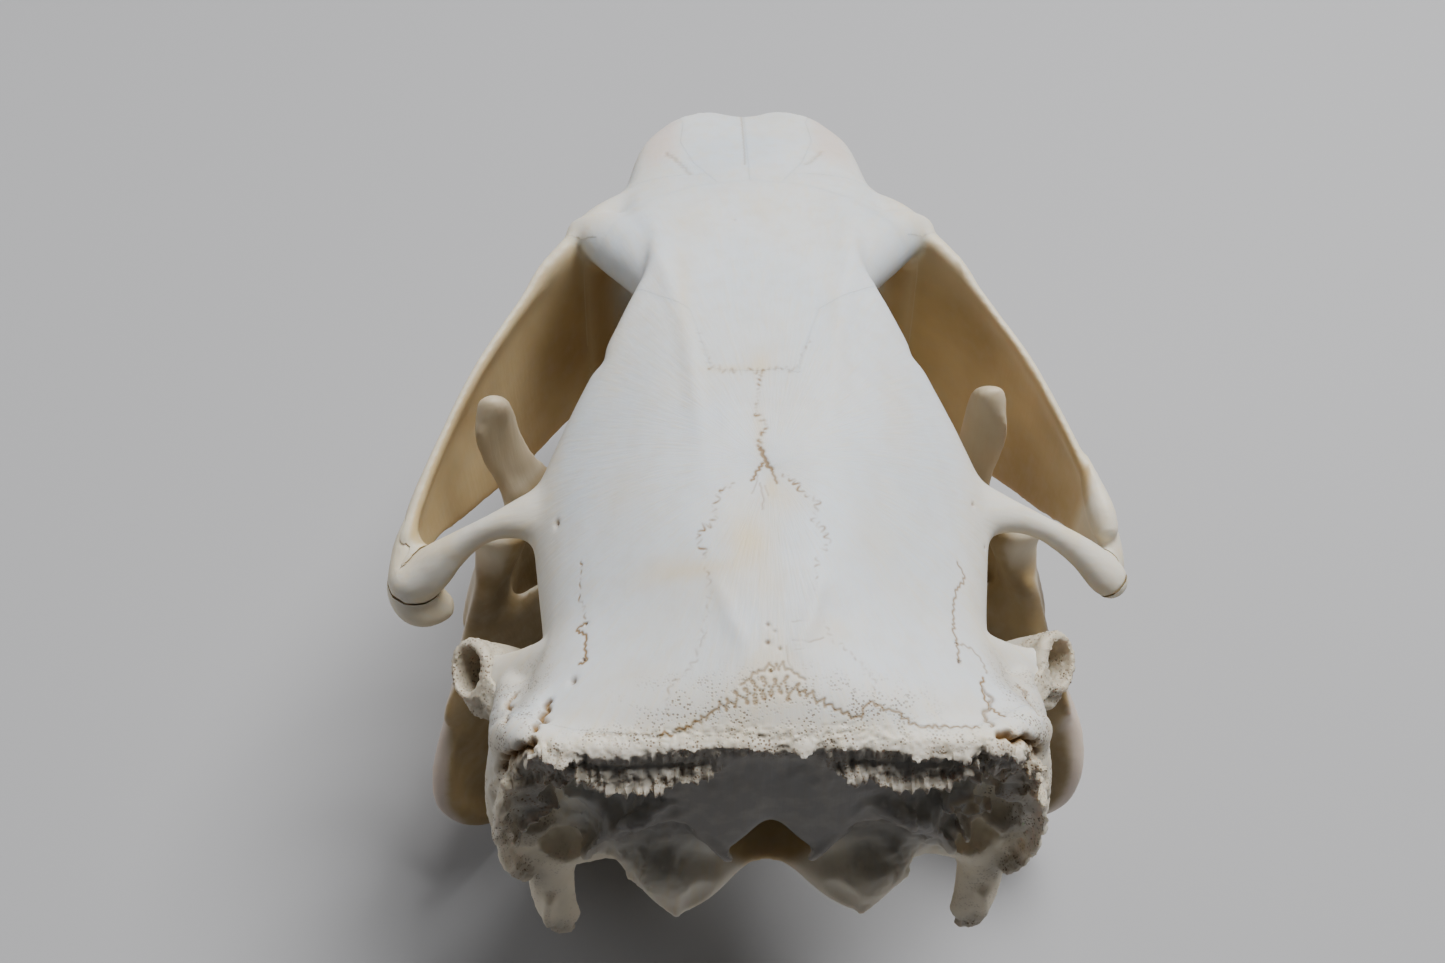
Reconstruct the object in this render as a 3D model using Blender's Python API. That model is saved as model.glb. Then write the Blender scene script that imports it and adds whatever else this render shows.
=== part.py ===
"""A beaver skull with its lower jaw in place, life size, resting on the jaw as a museum shows it.

The bones are shaped in millimetres on the skull's own landmarks: x runs to the skull's right,
y forward from the crest at the back of the skull, and z up from the rim of the upper tooth
sockets. The last step moves them to the floor and turns them to metres.
"""

import math

import bmesh
import bpy
import numpy as np
from mathutils import Matrix, Vector

# Driving dimensions of the whole skull, in millimetres
NASAL_TIP = 122.0  # the front edge of the nasal bones, from the crest
ARCH_HALF = 48.6  # half the width over the cheek arches
CASE_HALF = 27.6  # half the width of the braincase
ROOF = 44.3  # height of the skull roof over the palate
CREST = 39.6  # height of the crest at the back
JAW_DEPTH = 42.0  # from the palate down to the floor
LEFT_LEAN = 2.0  # how much further in the left jaw's angle leans
LEFT_CROWN = 2.8  # how much further out the tip of the left jaw's upright blade stands
MIDDLE_X = -0.27  # where the model's origin lies in the skull's own frame
MIDDLE_Y = 57.42
MM = 0.001
GAP = 0.3  # between bones that meet
VOXEL = 0.75  # grain of the fused bone before it is thinned out
RIGHT = 1
LEFT = -1

# Teeth
CHEEK_TEETH = 4
CHEEK_FRONT = 75.0  # front of the first cheek tooth
CHEEK_LENGTH = 7.6
CHEEK_WIDTH = 8.0
CROWN = 4.4
INCISOR_WIDTH = 8.2
INCISOR_DEPTH = 7.4

COLOURS = {
    "bone": (0.80, 0.76, 0.67),
    "rough_bone": (0.66, 0.58, 0.46),
    "jaw_bone": (0.76, 0.69, 0.55),
    "enamel": (0.74, 0.36, 0.10),
}


def curve_through(rows):
    """A smooth curve through rows of (station, values...) that never overshoots between them."""
    table = np.array(rows, float)
    places = table[:, 0]
    values = table[:, 1:]
    step = np.diff(places)
    slope = np.diff(values, axis=0) / step[:, None]
    tangent = np.zeros_like(values)
    tangent[0] = slope[0]
    tangent[-1] = slope[-1]
    for i in range(1, len(places) - 1):
        for j in range(values.shape[1]):
            before, after = slope[i - 1, j], slope[i, j]
            if before * after > 0:
                first = 2 * step[i] + step[i - 1]
                second = step[i] + 2 * step[i - 1]
                tangent[i, j] = (first + second) / (first / before + second / after)

    def at(place):
        i = int(np.clip(np.searchsorted(places, place) - 1, 0, len(step) - 1))
        t = (place - places[i]) / step[i]
        ease = t * t * (3 - 2 * t)
        pull_in = t * (1 - t) ** 2 * step[i]
        pull_out = t * t * (t - 1) * step[i]
        ends = values[i] * (1 - ease) + values[i + 1] * ease
        return ends + tangent[i] * pull_in + tangent[i + 1] * pull_out

    return at


def spline(points, per_span, closed=False):
    """Points along a Catmull-Rom curve through the given ones."""
    rows = np.array(points, float)
    count = len(rows)
    spans = count if closed else count - 1
    found = []
    for i in range(spans):
        if closed:
            a, b, c, d = (rows[(i + k) % count] for k in (-1, 0, 1, 2))
        else:
            a, b, c, d = (rows[min(max(i + k, 0), count - 1)] for k in (-1, 0, 1, 2))
        for k in range(per_span):
            t = k / per_span
            found.append(
                0.5 * (2 * b + (c - a) * t + (2 * a - 5 * b + 4 * c - d) * t**2 + (3 * b - a - 3 * c + d) * t**3)
            )
    if not closed:
        found.append(rows[-1])
    return np.array(found)


def new_object(name, bm):
    """A Blender object made from a finished bmesh."""
    mesh = bpy.data.meshes.new(name)
    bm.to_mesh(mesh)
    bm.free()
    thing = bpy.data.objects.new(name, mesh)
    bpy.context.scene.collection.objects.link(thing)
    return thing


def loft(name, rings):
    """A closed skin over a row of rings that have the same number of points."""
    bm = bmesh.new()
    loops = []
    for ring in rings:
        verts = [bm.verts.new(point) for point in ring]
        loops.append([bm.edges.new((verts[i - 1], verts[i])) for i in range(len(verts))])
    for before, after in zip(loops, loops[1:]):
        bmesh.ops.bridge_loops(bm, edges=before + after)
    for end in (loops[0], loops[-1]):
        cap = bmesh.ops.edgeloop_fill(bm, edges=end)["faces"]
        bmesh.ops.poke(bm, faces=cap)
    bmesh.ops.triangulate(bm, faces=bm.faces)
    bmesh.ops.recalc_face_normals(bm, faces=bm.faces)
    return new_object(name, bm)


def limb(name, stations, up=(0, 0, 1), sides=16, steps=4, square=2.0, bow=0.0, grow=0.0):
    """A bar or plate along stations of (x, y, z, half thickness, half height), with rounded ends.

    square above 2 makes its section boxier, bow bends a plate outward between its two edges, and
    grow makes it larger all round, for the room that a neighbour needs.
    """
    rows = spline(stations, steps)
    tangents = np.gradient(rows[:, :3], axis=0)
    tangents /= np.linalg.norm(tangents, axis=1)[:, None]
    lean = np.array(up, float)
    places = []
    for end, turn in ((0, -1), (-1, 1)):
        reach = min(rows[end, 3], rows[end, 4]) + grow
        cap = []
        for angle in (25, 50, 75):
            row = rows[end].copy()
            row[:3] += turn * tangents[end] * reach * math.sin(math.radians(angle))
            cap.append((row, tangents[end], math.cos(math.radians(angle))))
        places.append(cap)
    middle = [(row, tangent, 1.0) for row, tangent in zip(rows, tangents)]
    rings = []
    for row, tangent, shrink in places[0][::-1] + middle + places[1]:
        lift = lean - lean.dot(tangent) * tangent
        lift /= np.linalg.norm(lift)
        across = np.cross(tangent, lift)
        ring = []
        for k in range(sides):
            angle = 2 * math.pi * k / sides
            c, s = math.cos(angle), math.sin(angle)
            u = math.copysign(abs(c) ** (2 / square), c)
            v = math.copysign(abs(s) ** (2 / square), s)
            out = (row[3] + grow) * u * shrink + bow * (1 - v * v)
            ring.append(row[:3] + across * out + lift * (row[4] + grow) * v * shrink)
        rings.append(ring)
    return loft(name, rings)


def ball(name, centre, radii, turn=(0, 0, 0), grow=0.0, detail=3):
    """An egg shape, turned by three angles in degrees."""
    bm = bmesh.new()
    bmesh.ops.create_icosphere(bm, subdivisions=detail, radius=1.0)
    size = Matrix.Diagonal((radii[0] + grow, radii[1] + grow, radii[2] + grow, 1.0))
    rotate = Matrix.Identity(4)
    for angle, axis in zip(turn, "XYZ"):
        rotate = Matrix.Rotation(math.radians(angle), 4, axis) @ rotate
    bmesh.ops.transform(bm, matrix=Matrix.Translation(centre) @ rotate @ size, verts=bm.verts)
    return new_object(name, bm)


def prism(name, outline, low, high, along="Z", lean=0.0, grow=0.0):
    """An outline pushed along one axis. lean tips a flat outline back about x, in degrees."""
    flat = np.array(outline, float)
    if grow:
        ahead = np.roll(flat, -1, axis=0) - flat
        ahead /= np.linalg.norm(ahead, axis=1)[:, None]
        normal = np.stack([ahead[:, 1], -ahead[:, 0]], axis=1)
        area = np.sum(flat[:, 0] * np.roll(flat[:, 1], -1) - np.roll(flat[:, 0], -1) * flat[:, 1])
        if area < 0:
            normal = -normal
        both = normal + np.roll(normal, 1, axis=0)
        both /= np.maximum(np.sum(both * both, axis=1), 0.4)[:, None] / 2
        flat = flat + both * grow
    low -= grow
    high += grow
    rings = []
    for level in (low, high):
        if along == "Z":
            rings.append([(u, v, level) for u, v in flat])
        else:
            rings.append([(level, u, v) for u, v in flat])
    bm = bmesh.new()
    base = bm.faces.new([bm.verts.new(point) for point in rings[0]])
    lifted = bmesh.ops.extrude_face_region(bm, geom=[base])
    push = Vector(rings[1][0]) - Vector(rings[0][0])
    top = [item for item in lifted["geom"] if isinstance(item, bmesh.types.BMVert)]
    bmesh.ops.translate(bm, vec=push, verts=top)
    if lean:
        pivot = (0, float(np.mean(np.array(outline)[:, 1])), low + grow)
        bmesh.ops.rotate(bm, cent=pivot, matrix=Matrix.Rotation(math.radians(lean), 3, "X"), verts=bm.verts)
    bmesh.ops.recalc_face_normals(bm, faces=bm.faces)
    return new_object(name, bm)


def apply_modifiers(thing):
    """Make a piece's evaluated mesh its own."""
    seen = thing.evaluated_get(bpy.context.evaluated_depsgraph_get())
    mesh = bpy.data.meshes.new_from_object(seen)
    thing.modifiers.clear()
    thing.data = mesh
    return thing


def remove(things):
    for thing in things:
        bpy.data.objects.remove(thing)


def boolean(body, others, operation):
    """One Boolean of a body with a collection of closed pieces, applied, with the pieces removed.

    The solver is MANIFOLD, because EXACT leaves open edges where so many rounded pieces cross.
    """
    group = bpy.data.collections.new("pieces")
    bpy.context.scene.collection.children.link(group)
    for other in others:
        bpy.context.scene.collection.objects.unlink(other)
        group.objects.link(other)
    step = body.modifiers.new(operation, "BOOLEAN")
    step.operation = operation
    step.solver = "MANIFOLD"
    if len(others) == 1:
        step.object = others[0]
    else:
        step.operand_type = "COLLECTION"
        step.collection = group
    apply_modifiers(body)
    remove(others)
    bpy.data.collections.remove(group)
    return body


def join(name, things):
    body = boolean(things[0], things[1:], "UNION")
    body.name = name
    return body


def carve(body, cutters):
    for cutter in cutters:
        boolean(body, [cutter], "DIFFERENCE")
    return body


def flip(stations, side):
    """Stations made for the right side, mirrored when side is LEFT."""
    return [(side * row[0], *row[1:]) for row in stations]


def fuse(body, faces, voxel=VOXEL, smooth=3):
    """Melt the joined pieces into one bone: regrained, smoothed, and thinned to about faces."""
    grain = body.modifiers.new("grain", "REMESH")
    grain.mode = "VOXEL"
    grain.voxel_size = voxel
    soft = body.modifiers.new("soft", "SMOOTH")
    soft.factor = 0.5
    soft.iterations = smooth
    apply_modifiers(body)
    return keep_largest(thin_out(body, faces))


def thin_out(body, faces):
    """Collapse the edges that matter least until about this many triangles are left."""
    count = sum(len(face.vertices) - 2 for face in body.data.polygons)
    thin = body.modifiers.new("thin", "DECIMATE")
    thin.ratio = min(1.0, faces / count)
    thin.use_collapse_triangulate = True
    return apply_modifiers(body)


def keep_largest(body):
    """Drop every closed surface of a bone but the one that holds the most."""
    bm = bmesh.new()
    bm.from_mesh(body.data)
    bmesh.ops.remove_doubles(bm, verts=bm.verts, dist=1e-5)
    left = set(bm.faces)
    shells = []
    while left:
        start = left.pop()
        shell = {start}
        front = [start]
        while front:
            face = front.pop()
            for edge in face.edges:
                if len(edge.link_faces) > 2:
                    continue
                for other in edge.link_faces:
                    if other in left:
                        left.discard(other)
                        shell.add(other)
                        front.append(other)
        shells.append(shell)

    def size(shell):
        total = 0.0
        for face in shell:
            corners = [vert.co for vert in face.verts]
            for b, c in zip(corners[1:], corners[2:]):
                total += corners[0].dot(b.cross(c))
        return abs(total)

    shells.sort(key=size)
    for shell in shells[:-1]:
        bmesh.ops.delete(bm, geom=list(shell), context="FACES")
    bmesh.ops.triangulate(bm, faces=bm.faces)
    bm.to_mesh(body.data)
    bm.free()
    return body


def copy_of(thing, name):
    twin = thing.copy()
    twin.data = thing.data.copy()
    twin.name = name
    bpy.context.scene.collection.objects.link(twin)
    return twin


def part_off(body, name, make_region):
    """Part a bone from the body along a region, leaving GAP between the two."""
    piece = copy_of(body, name)
    boolean(piece, [make_region(0.0)], "INTERSECT")
    boolean(body, [make_region(GAP)], "DIFFERENCE")
    keep_largest(piece)
    return piece


# The skull roof and walls from back to front: (y, roof z, ridge x, edge x, edge z, side x, side z,
# base x, base z, underside z)
CORE_STATIONS = [
    (0.0, CREST - 0.6, 8.0, 25.5, 35.0, 29.5, 19.0, 20.0, 7.0, 6.5),
    (4.0, CREST + 1.9, 6.0, 26.0, 34.5, 31.0, 18.0, 22.0, 5.0, 4.5),
    (12.0, ROOF - 1.4, 4.5, 26.5, 32.5, 29.5, 17.0, 20.0, 4.0, 4.0),
    (20.0, ROOF - 0.5, 6.8, 25.2, 31.0, 26.0, 20.0, 17.0, 4.0, 5.0),
    (29.0, ROOF, 7.6, 26.0, 31.0, CASE_HALF - 0.8, 22.0, 13.0, 6.0, 8.0),
    (39.0, ROOF + 0.2, 7.9, 27.2, 31.5, CASE_HALF, 24.0, 12.0, 8.0, 10.0),
    (46.0, ROOF + 0.3, 8.2, 25.4, 33.5, 25.0, 23.0, 12.5, 5.0, 9.0),
    (52.0, ROOF + 0.1, 8.5, 22.9, 35.3, 21.4, 22.5, 14.0, 1.0, 3.0),
    (58.0, ROOF - 0.2, 8.9, 19.8, 37.3, 17.0, 22.0, 14.0, 0.2, 1.5),
    (64.0, ROOF - 0.8, 9.2, 16.9, 39.2, 13.6, 22.0, 14.0, 0.2, 2.0),
    (71.0, ROOF - 1.9, 9.4, 14.2, 40.7, 12.2, 22.0, 13.5, 1.0, 3.0),
    (76.0, ROOF - 3.0, 9.6, 14.6, 39.8, 13.0, 20.0, 12.5, 3.0, 6.0),
    (81.0, ROOF - 4.4, 9.8, 17.4, 37.6, 15.5, 19.0, 10.0, 6.0, 8.5),
    (90.0, 37.0, 9.2, 18.2, 33.0, 17.8, 17.0, 8.5, 6.0, 8.8),
    (100.0, 33.4, 9.2, 17.8, 28.8, 18.2, 15.0, 9.5, 2.0, 4.5),
    (108.0, 30.4, 9.8, 17.2, 26.2, 17.7, 13.5, 11.4, -3.5, -2.0),
    (114.0, 28.1, 9.6, 15.4, 24.4, 15.6, 12.5, 11.4, -5.6, -5.4),
    (118.6, 26.2, 7.6, 11.4, 23.0, 11.8, 11.5, 9.6, -3.6, -4.2),
]
RING_STEP = 2.0


def cranium_core():
    """The solid trunk of the skull, from the occiput to the nose."""
    at = curve_through(CORE_STATIONS)
    first, last = CORE_STATIONS[0][0], CORE_STATIONS[-1][0]
    rings = []
    for y in np.linspace(first, last, int((last - first) / RING_STEP) + 1):
        top, ridge_x, edge_x, edge_z, side_x, side_z, base_x, base_z, bottom = at(y)
        ridge_z = top - 0.35
        half = [
            (ridge_x, ridge_z),
            (0.55 * ridge_x + 0.45 * edge_x, 0.62 * ridge_z + 0.38 * edge_z + 1.0),
            (edge_x, edge_z),
            (side_x, side_z),
            (base_x, base_z),
        ]
        outline = [(0, top)] + half + [(0, bottom)] + [(-x, z) for x, z in half[::-1]]
        rings.append([(x, y, z) for x, z in spline(outline, 4, closed=True)])
    return loft("core", rings)


def nasal_tips():
    """The broad front ends of the two nasal bones, which overhang the nostril."""
    pieces = []
    for side in (RIGHT, LEFT):
        rows = [
            (side * 5.0, 100.0, 31.8, 5.0, 1.3),
            (side * 5.8, 110.0, 28.6, 6.4, 1.3),
            (side * 5.6, 116.6, 26.2, 6.2, 1.2),
            (side * 4.8, NASAL_TIP - 2.2, 24.8, 4.6, 1.0),
        ]
        pieces.append(limb("nasal_tip", rows))
    return pieces


# The cheek arch as a deep plate: (x, y, z, half thickness, half height)
ARCH_ROOT = [
    (11.0, 101.0, 14.0, 4.0, 9.0),
    (16.0, 94.5, 17.0, 4.0, 12.5),
    (20.5, 88.5, 19.3, 3.4, 15.0),
    (24.4, 82.8, 18.3, 2.2, 17.3),
]
ARCH_PLATE = [
    (28.3, 78.0, 16.2, 1.5, 17.7),
    (33.2, 71.0, 14.5, 1.2, 17.1),
    (37.4, 64.0, 14.6, 1.2, 15.1),
    (41.0, 57.0, 14.9, 1.2, 11.9),
    (44.1, 49.5, 15.7, 1.2, 8.2),
    (ARCH_HALF - 2.8, 44.0, 15.3, 1.4, 6.4),
    (ARCH_HALF - 2.0, 39.6, 14.4, 1.6, 4.8),
]
ARCH_END = {
    RIGHT: [(ARCH_HALF - 2.2, 37.4, 14.2, 1.6, 4.0)],
    LEFT: [(ARCH_HALF - 2.0, 37.4, 13.2, 2.2, 4.2), (44.9, 35.6, 12.2, 2.6, 3.2), (42.8, 36.2, 11.6, 2.2, 2.5)],
}


def arch_plate(side, stations):
    return limb("arch", flip(stations, side), sides=20, square=3.0, bow=-1.1 * side)


def arch_rim(side, stations, thick):
    """The rounded upper rim of the cheek arch."""
    rows = [(x - 0.2, y, z + high - 1.5, thick, 1.7) for x, y, z, _, high in stations]
    return limb("arch_rim", flip(rows, side), sides=12)


def arch_foot(side):
    """The lower root of the arch, beside the first cheek tooth."""
    rows = [
        (8.0, 84.0, 8.0, 3.5, 4.0),
        (16.0, 84.5, 6.0, 3.4, 3.2),
        (22.0, 82.0, 4.2, 2.8, 2.6),
        (28.0, 78.2, 1.6, 1.7, 1.9),
    ]
    return limb("arch_foot", flip(rows, side), sides=12)


def root_web(side):
    """The web of bone that runs from the side of the snout into the arch."""
    rows = [
        (13.0, 104.5, 21.0, 3.2, 4.2),
        (18.6, 96.4, 23.4, 3.6, 5.2),
        (22.4, 90.0, 26.0, 3.2, 6.0),
        (25.2, 84.6, 28.4, 2.2, 5.6),
    ]
    return limb("root_web", flip(rows, side), sides=14)


def orbit_lobe(side):
    """The rounded front wall of the eye socket, between the roof and the arch's upper rim."""
    rows = [
        (12.6, 74.4, 35.0, 3.0, 3.4),
        (16.4, 78.6, 33.8, 3.8, 3.6),
        (20.2, 82.4, 32.4, 2.8, 3.2),
        (24.2, 83.4, 31.6, 2.0, 2.8),
    ]
    return limb("orbit_lobe", flip(rows, side), sides=14)


def root_fill(side):
    """What rounds off the arch's root between the snout and the eye socket."""
    return ball("root_fill", (side * 20.6, 86.6, 30.6), (4.2, 5.4, 4.4), (0, 0, side * 30))


def temporal_bar(side, grow=0.0):
    """The bar that the braincase sends out over the jaw joint to the cheek arch."""
    rows = [
        (20.0, 37.5, 28.0, 6.0, 4.5),
        (27.5, 38.3, 27.8, 4.2, 3.2),
        (32.0, 38.0, 27.0, 2.3, 2.1),
        (36.0, 37.7, 25.0, 1.7, 1.8),
    ]
    if side == RIGHT:
        rows += [(40.0, 37.1, 22.2, 2.0, 1.9), (43.6, 36.0, 19.5, 2.6, 2.2), (45.4, 35.2, 17.8, 2.6, 2.1)]
    else:
        rows += [(40.0, 37.2, 21.6, 2.6, 2.2), (43.2, 36.8, 17.8, 3.8, 2.9), (45.4, 37.6, 15.8, 4.2, 3.2)]
        rows += [(46.4, 40.4, 16.8, 2.6, 2.8), (46.8, 43.2, 18.6, 1.6, 1.8)]
    return limb("temporal_bar", flip(rows, side), sides=14, grow=grow)


def ear_shelf(side):
    """The shelf that carries the ear tube's mouth."""
    rows = [
        (22.0, 12.0, 23.0, 4.6, 6.0),
        (27.0, 14.6, 21.6, 3.4, 4.2),
        (30.0, 16.4, 20.6, 2.4, 3.0),
    ]
    return limb("ear_shelf", flip(rows, side), sides=14)


def mastoid_web(side):
    """The porous slope between the ear tube and the mastoid."""
    rows = [
        (30.4, 17.0, 21.0, 2.4, 4.0),
        (29.8, 12.8, 22.6, 2.8, 5.0),
        (29.4, 8.4, 25.4, 3.2, 5.4),
    ]
    return limb("mastoid_web", flip(rows, side), sides=14)


def mastoid(side):
    """The swollen corner of the braincase behind the ear, down to its rounded lower end."""
    rows = [
        (25.0, 6.5, 33.0, 3.2, 3.4),
        (28.6, 6.0, 25.5, 3.6, 5.4),
        (30.2, 5.0, 17.5, 3.4, 5.0),
        (30.0, 3.6, 10.6, 2.8, 3.6),
        (28.8, 2.4, 7.0, 2.2, 2.6),
    ]
    return limb("mastoid", flip(rows, side), up=(0, 1, 0), sides=14)


def paroccipital(side):
    """The hooked process that hangs beside the condyle."""
    rows = [
        (24.0, 4.5, 14.0, 4.0, 3.0),
        (26.4, 2.2, 8.0, 3.4, 2.6),
        (26.6, 0.2, 2.8, 3.1, 2.2),
        (26.3, -1.4, -1.2, 2.9, 2.0),
        (25.1, -1.9, -3.2, 2.6, 1.7),
    ]
    return limb("paroccipital", flip(rows, side), up=(0, 1, 0), sides=12)


def condyle(side):
    """One of the two rounded wedges that the neck turned on."""
    rows = [
        (16.2, 0.6, 12.8, 2.6, 2.6),
        (13.4, -2.0, 11.0, 3.0, 3.2),
        (10.4, -3.2, 9.2, 2.9, 3.5),
        (7.2, -1.4, 8.2, 2.4, 3.1),
        (4.2, 2.0, 7.2, 2.0, 2.9),
    ]
    return limb("condyle", flip(rows, side), up=(0.3 * side, 0.4, 1), sides=16, square=1.5)


def condyle_tip(side):
    """The point at the back of the condyle, where its two facets meet."""
    rows = [
        (11.4, 0.0, 10.0, 3.0, 3.4),
        (10.9, -3.6, 8.4, 1.8, 2.2),
        (10.6, -5.7, 7.2, 0.8, 1.0),
    ]
    return limb("condyle_tip", flip(rows, side), sides=12, square=1.5)


def crest(side):
    """Half of the rough crest along the back of the roof, in two ledges."""
    rows = [
        (-1.0, 1.0, CREST - 1.4, 1.8, 1.5),
        (9.0, 0.7, CREST - 1.9, 1.9, 1.6),
        (17.0, 0.3, CREST - 2.4, 2.0, 1.9),
        (23.5, 0.8, CREST - 2.9, 2.3, 2.3),
        (27.0, 3.6, CREST - 5.6, 2.6, 3.0),
        (29.5, 5.6, CREST - 10.0, 2.4, 3.0),
    ]
    return limb("crest", flip(rows, side), sides=12)


def lower_ledge(side):
    """The second lip of the crest, under the first and a little behind it."""
    rows = [
        (5.5, 0.4, CREST - 3.4, 1.3, 1.0),
        (10.0, -1.0, CREST - 4.2, 1.6, 1.2),
        (15.0, -1.3, CREST - 4.8, 1.7, 1.4),
        (19.5, -0.4, CREST - 4.4, 1.5, 1.4),
        (23.0, 1.4, CREST - 4.6, 1.4, 1.6),
    ]
    return limb("lower_ledge", flip(rows, side), sides=12)


def nape_plate(side):
    """Half of the plate over the great foramen, which ends in a blunt point beside it."""
    rows = [
        (5.0, 1.8, CREST - 3.0, 8.0, 1.8),
        (5.5, 0.6, 31.0, 8.0, 1.8),
        (6.0, -0.4, 24.5, 6.6, 1.6),
        (5.6, -1.2, 20.0, 4.0, 1.4),
        (4.9, -1.6, 17.4, 1.8, 1.1),
    ]
    return limb("nape_plate", flip(rows, side), up=(0, 1, 0), sides=14)


def nape_ridge(side):
    """The ridge from the plate's bump across to the hooked process."""
    rows = [
        (11.5, 0.2, 25.5, 2.0, 1.8),
        (15.5, -0.9, 24.0, 2.1, 2.0),
        (18.5, -0.6, 19.0, 1.6, 1.7),
        (21.5, 0.6, 13.5, 1.6, 1.6),
        (25.5, 1.0, 8.0, 1.7, 1.5),
    ]
    return limb("nape_ridge", flip(rows, side), up=(0, 1, 0), sides=12)


def pterygoid(side):
    """The thin blade behind the palate."""
    rows = [
        (7.6, 47.0, 5.0, 1.2, 4.6),
        (7.4, 41.0, 4.6, 0.9, 4.6),
        (8.2, 35.5, 3.6, 0.8, 4.2),
        (9.6, 31.5, 2.2, 0.8, 2.8),
    ]
    return limb("pterygoid", flip(rows, side), sides=12)


def tooth_bed(side):
    """The swelling of the upper jaw round the roots of the cheek teeth."""
    rows = [
        (12.2, 46.5, 4.6, 4.9, 4.2),
        (11.4, 56.0, 4.6, 5.0, 4.4),
        (10.0, 66.0, 5.2, 4.9, 4.8),
        (8.9, 75.0, 6.4, 4.6, 5.6),
    ]
    return limb("tooth_bed", flip(rows, side), sides=16, square=2.6)


def hollows(side):
    """What is scooped out of one side of the skull."""
    return [
        ball("nape_hollow", (side * 20.4, -1.8, 27.0), (6.2, 4.9, 5.4), (0, side * 18, 0)),
        ball("nape_hollow_low", (side * 23.8, -1.2, 18.2), (4.6, 4.8, 5.8), (0, side * -14, 0)),
        ball("condyle_hollow", (side * 19.4, 1.0, 4.0), (3.9, 7.0, 5.3)),
        ball("orbit", (side * 21.2, 74.6, 19.5), (6.3, 8.8, 12.0), (0, 0, side * 32)),
    ]


def nostril():
    """The wide opening at the front of the nose."""
    rows = [
        (0.0, 124.0, 12.4, 10.6, 10.4),
        (0.0, 117.0, 13.4, 10.0, 10.2),
        (0.0, 110.0, 16.0, 8.6, 9.0),
        (0.0, 99.0, 20.0, 6.0, 6.4),
    ]
    return limb("nostril", rows, sides=24, square=2.3)


def great_foramen():
    """The way from the neck into the braincase."""
    rows = [
        (0.0, -8.0, 12.2, 5.8, 7.4),
        (0.0, 0.0, 13.2, 6.0, 7.2),
        (0.0, 8.0, 14.6, 7.4, 6.8),
        (0.0, 18.0, 18.0, 8.8, 7.6),
        (0.0, 24.0, 20.5, 6.0, 5.4),
    ]
    return limb("great_foramen", rows, sides=20, square=1.8)


def throat():
    """The channel behind the palate, between the two blades."""
    rows = [
        (0.0, 30.0, 2.0, 5.0, 4.8),
        (0.0, 40.0, 2.6, 4.9, 5.8),
        (0.0, 50.0, 6.0, 4.4, 3.0),
    ]
    return limb("throat", rows, sides=16)


def basin():
    """The pit in the bone in front of the great foramen."""
    return ball("basin", (0.0, 13.0, 2.2), (4.8, 6.5, 2.8))


def cheek_canal(side):
    """The small canal low on the side of the snout."""
    rows = [
        (15.0, 103.0, 8.6, 1.7, 2.8),
        (17.5, 94.0, 8.8, 1.3, 2.4),
    ]
    return limb("cheek_canal", flip(rows, side), sides=10)


def palate_slit(side):
    """One of the two slits in the palate behind the front teeth."""
    rows = [
        (1.7, 92.0, 6.6, 0.8, 2.6),
        (1.9, 97.0, 5.0, 0.9, 2.8),
        (1.7, 102.0, 2.6, 0.8, 2.6),
    ]
    return limb("palate_slit", flip(rows, side), sides=10)


def jaw_socket(side):
    """The shallow socket under the bar where the jaw's head turns."""
    return ball("jaw_socket", (side * 34.4, 42.8, 17.8), (5.8, 5.4, 4.4), (0, side * 20, 0))


def bulla_pieces(side, grow=0.0):
    """The ear capsule with its tube up to the ear opening."""
    tube = [
        (16.0, 22.0, 3.0, 4.6, 5.0),
        (24.0, 21.8, 8.0, 4.0, 4.4),
        (30.0, 20.6, 14.6, 3.8, 4.6),
        (35.0, 19.2, 20.6, 3.6, 5.2),
    ]
    return [
        ball("bulla", (side * 15.4, 24.0, 1.6), (7.6, 10.2, 8.2), (0, side * -14, side * 18), grow),
        limb("ear_tube", flip(tube, side), up=(0, 1, 0.2), sides=16, grow=grow),
    ]


def ear_opening(side):
    rows = [
        (30.0, 20.4, 15.6, 2.2, 2.6),
        (35.0, 19.6, 20.6, 2.7, 3.4),
        (41.0, 18.4, 26.5, 3.2, 3.9),
    ]
    return limb("ear_opening", flip(rows, side), up=(0, 1, 0.2), sides=14)


def make_cranium():
    """Every bone of the upper skull but the arches and the ear capsules, as one body."""
    pieces = [cranium_core()] + nasal_tips()
    for side in (RIGHT, LEFT):
        pieces.append(arch_plate(side, ARCH_ROOT + ARCH_PLATE[:2]))
        pieces.append(arch_rim(side, ARCH_ROOT[1:] + ARCH_PLATE[:2], 1.5))
        pieces.append(arch_foot(side))
        pieces.append(root_web(side))
        pieces.append(orbit_lobe(side))
        pieces.append(root_fill(side))
        pieces.append(temporal_bar(side))
        pieces.append(ear_shelf(side))
        pieces.append(mastoid_web(side))
        pieces.append(mastoid(side))
        pieces.append(paroccipital(side))
        pieces.append(condyle(side))
        pieces.append(condyle_tip(side))
        pieces.append(crest(side))
        pieces.append(lower_ledge(side))
        pieces.append(nape_plate(side))
        pieces.append(nape_ridge(side))
        pieces.append(pterygoid(side))
        pieces.append(tooth_bed(side))
    body = join("cranium", pieces)
    cutters = [nostril(), great_foramen(), throat(), basin()]
    for side in (RIGHT, LEFT):
        cutters += hollows(side)
        cutters.append(jaw_socket(side))
        cutters.append(cheek_canal(side))
        cutters.append(palate_slit(side))
    carve(body, cutters)
    return fuse(body, 9000)


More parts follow.
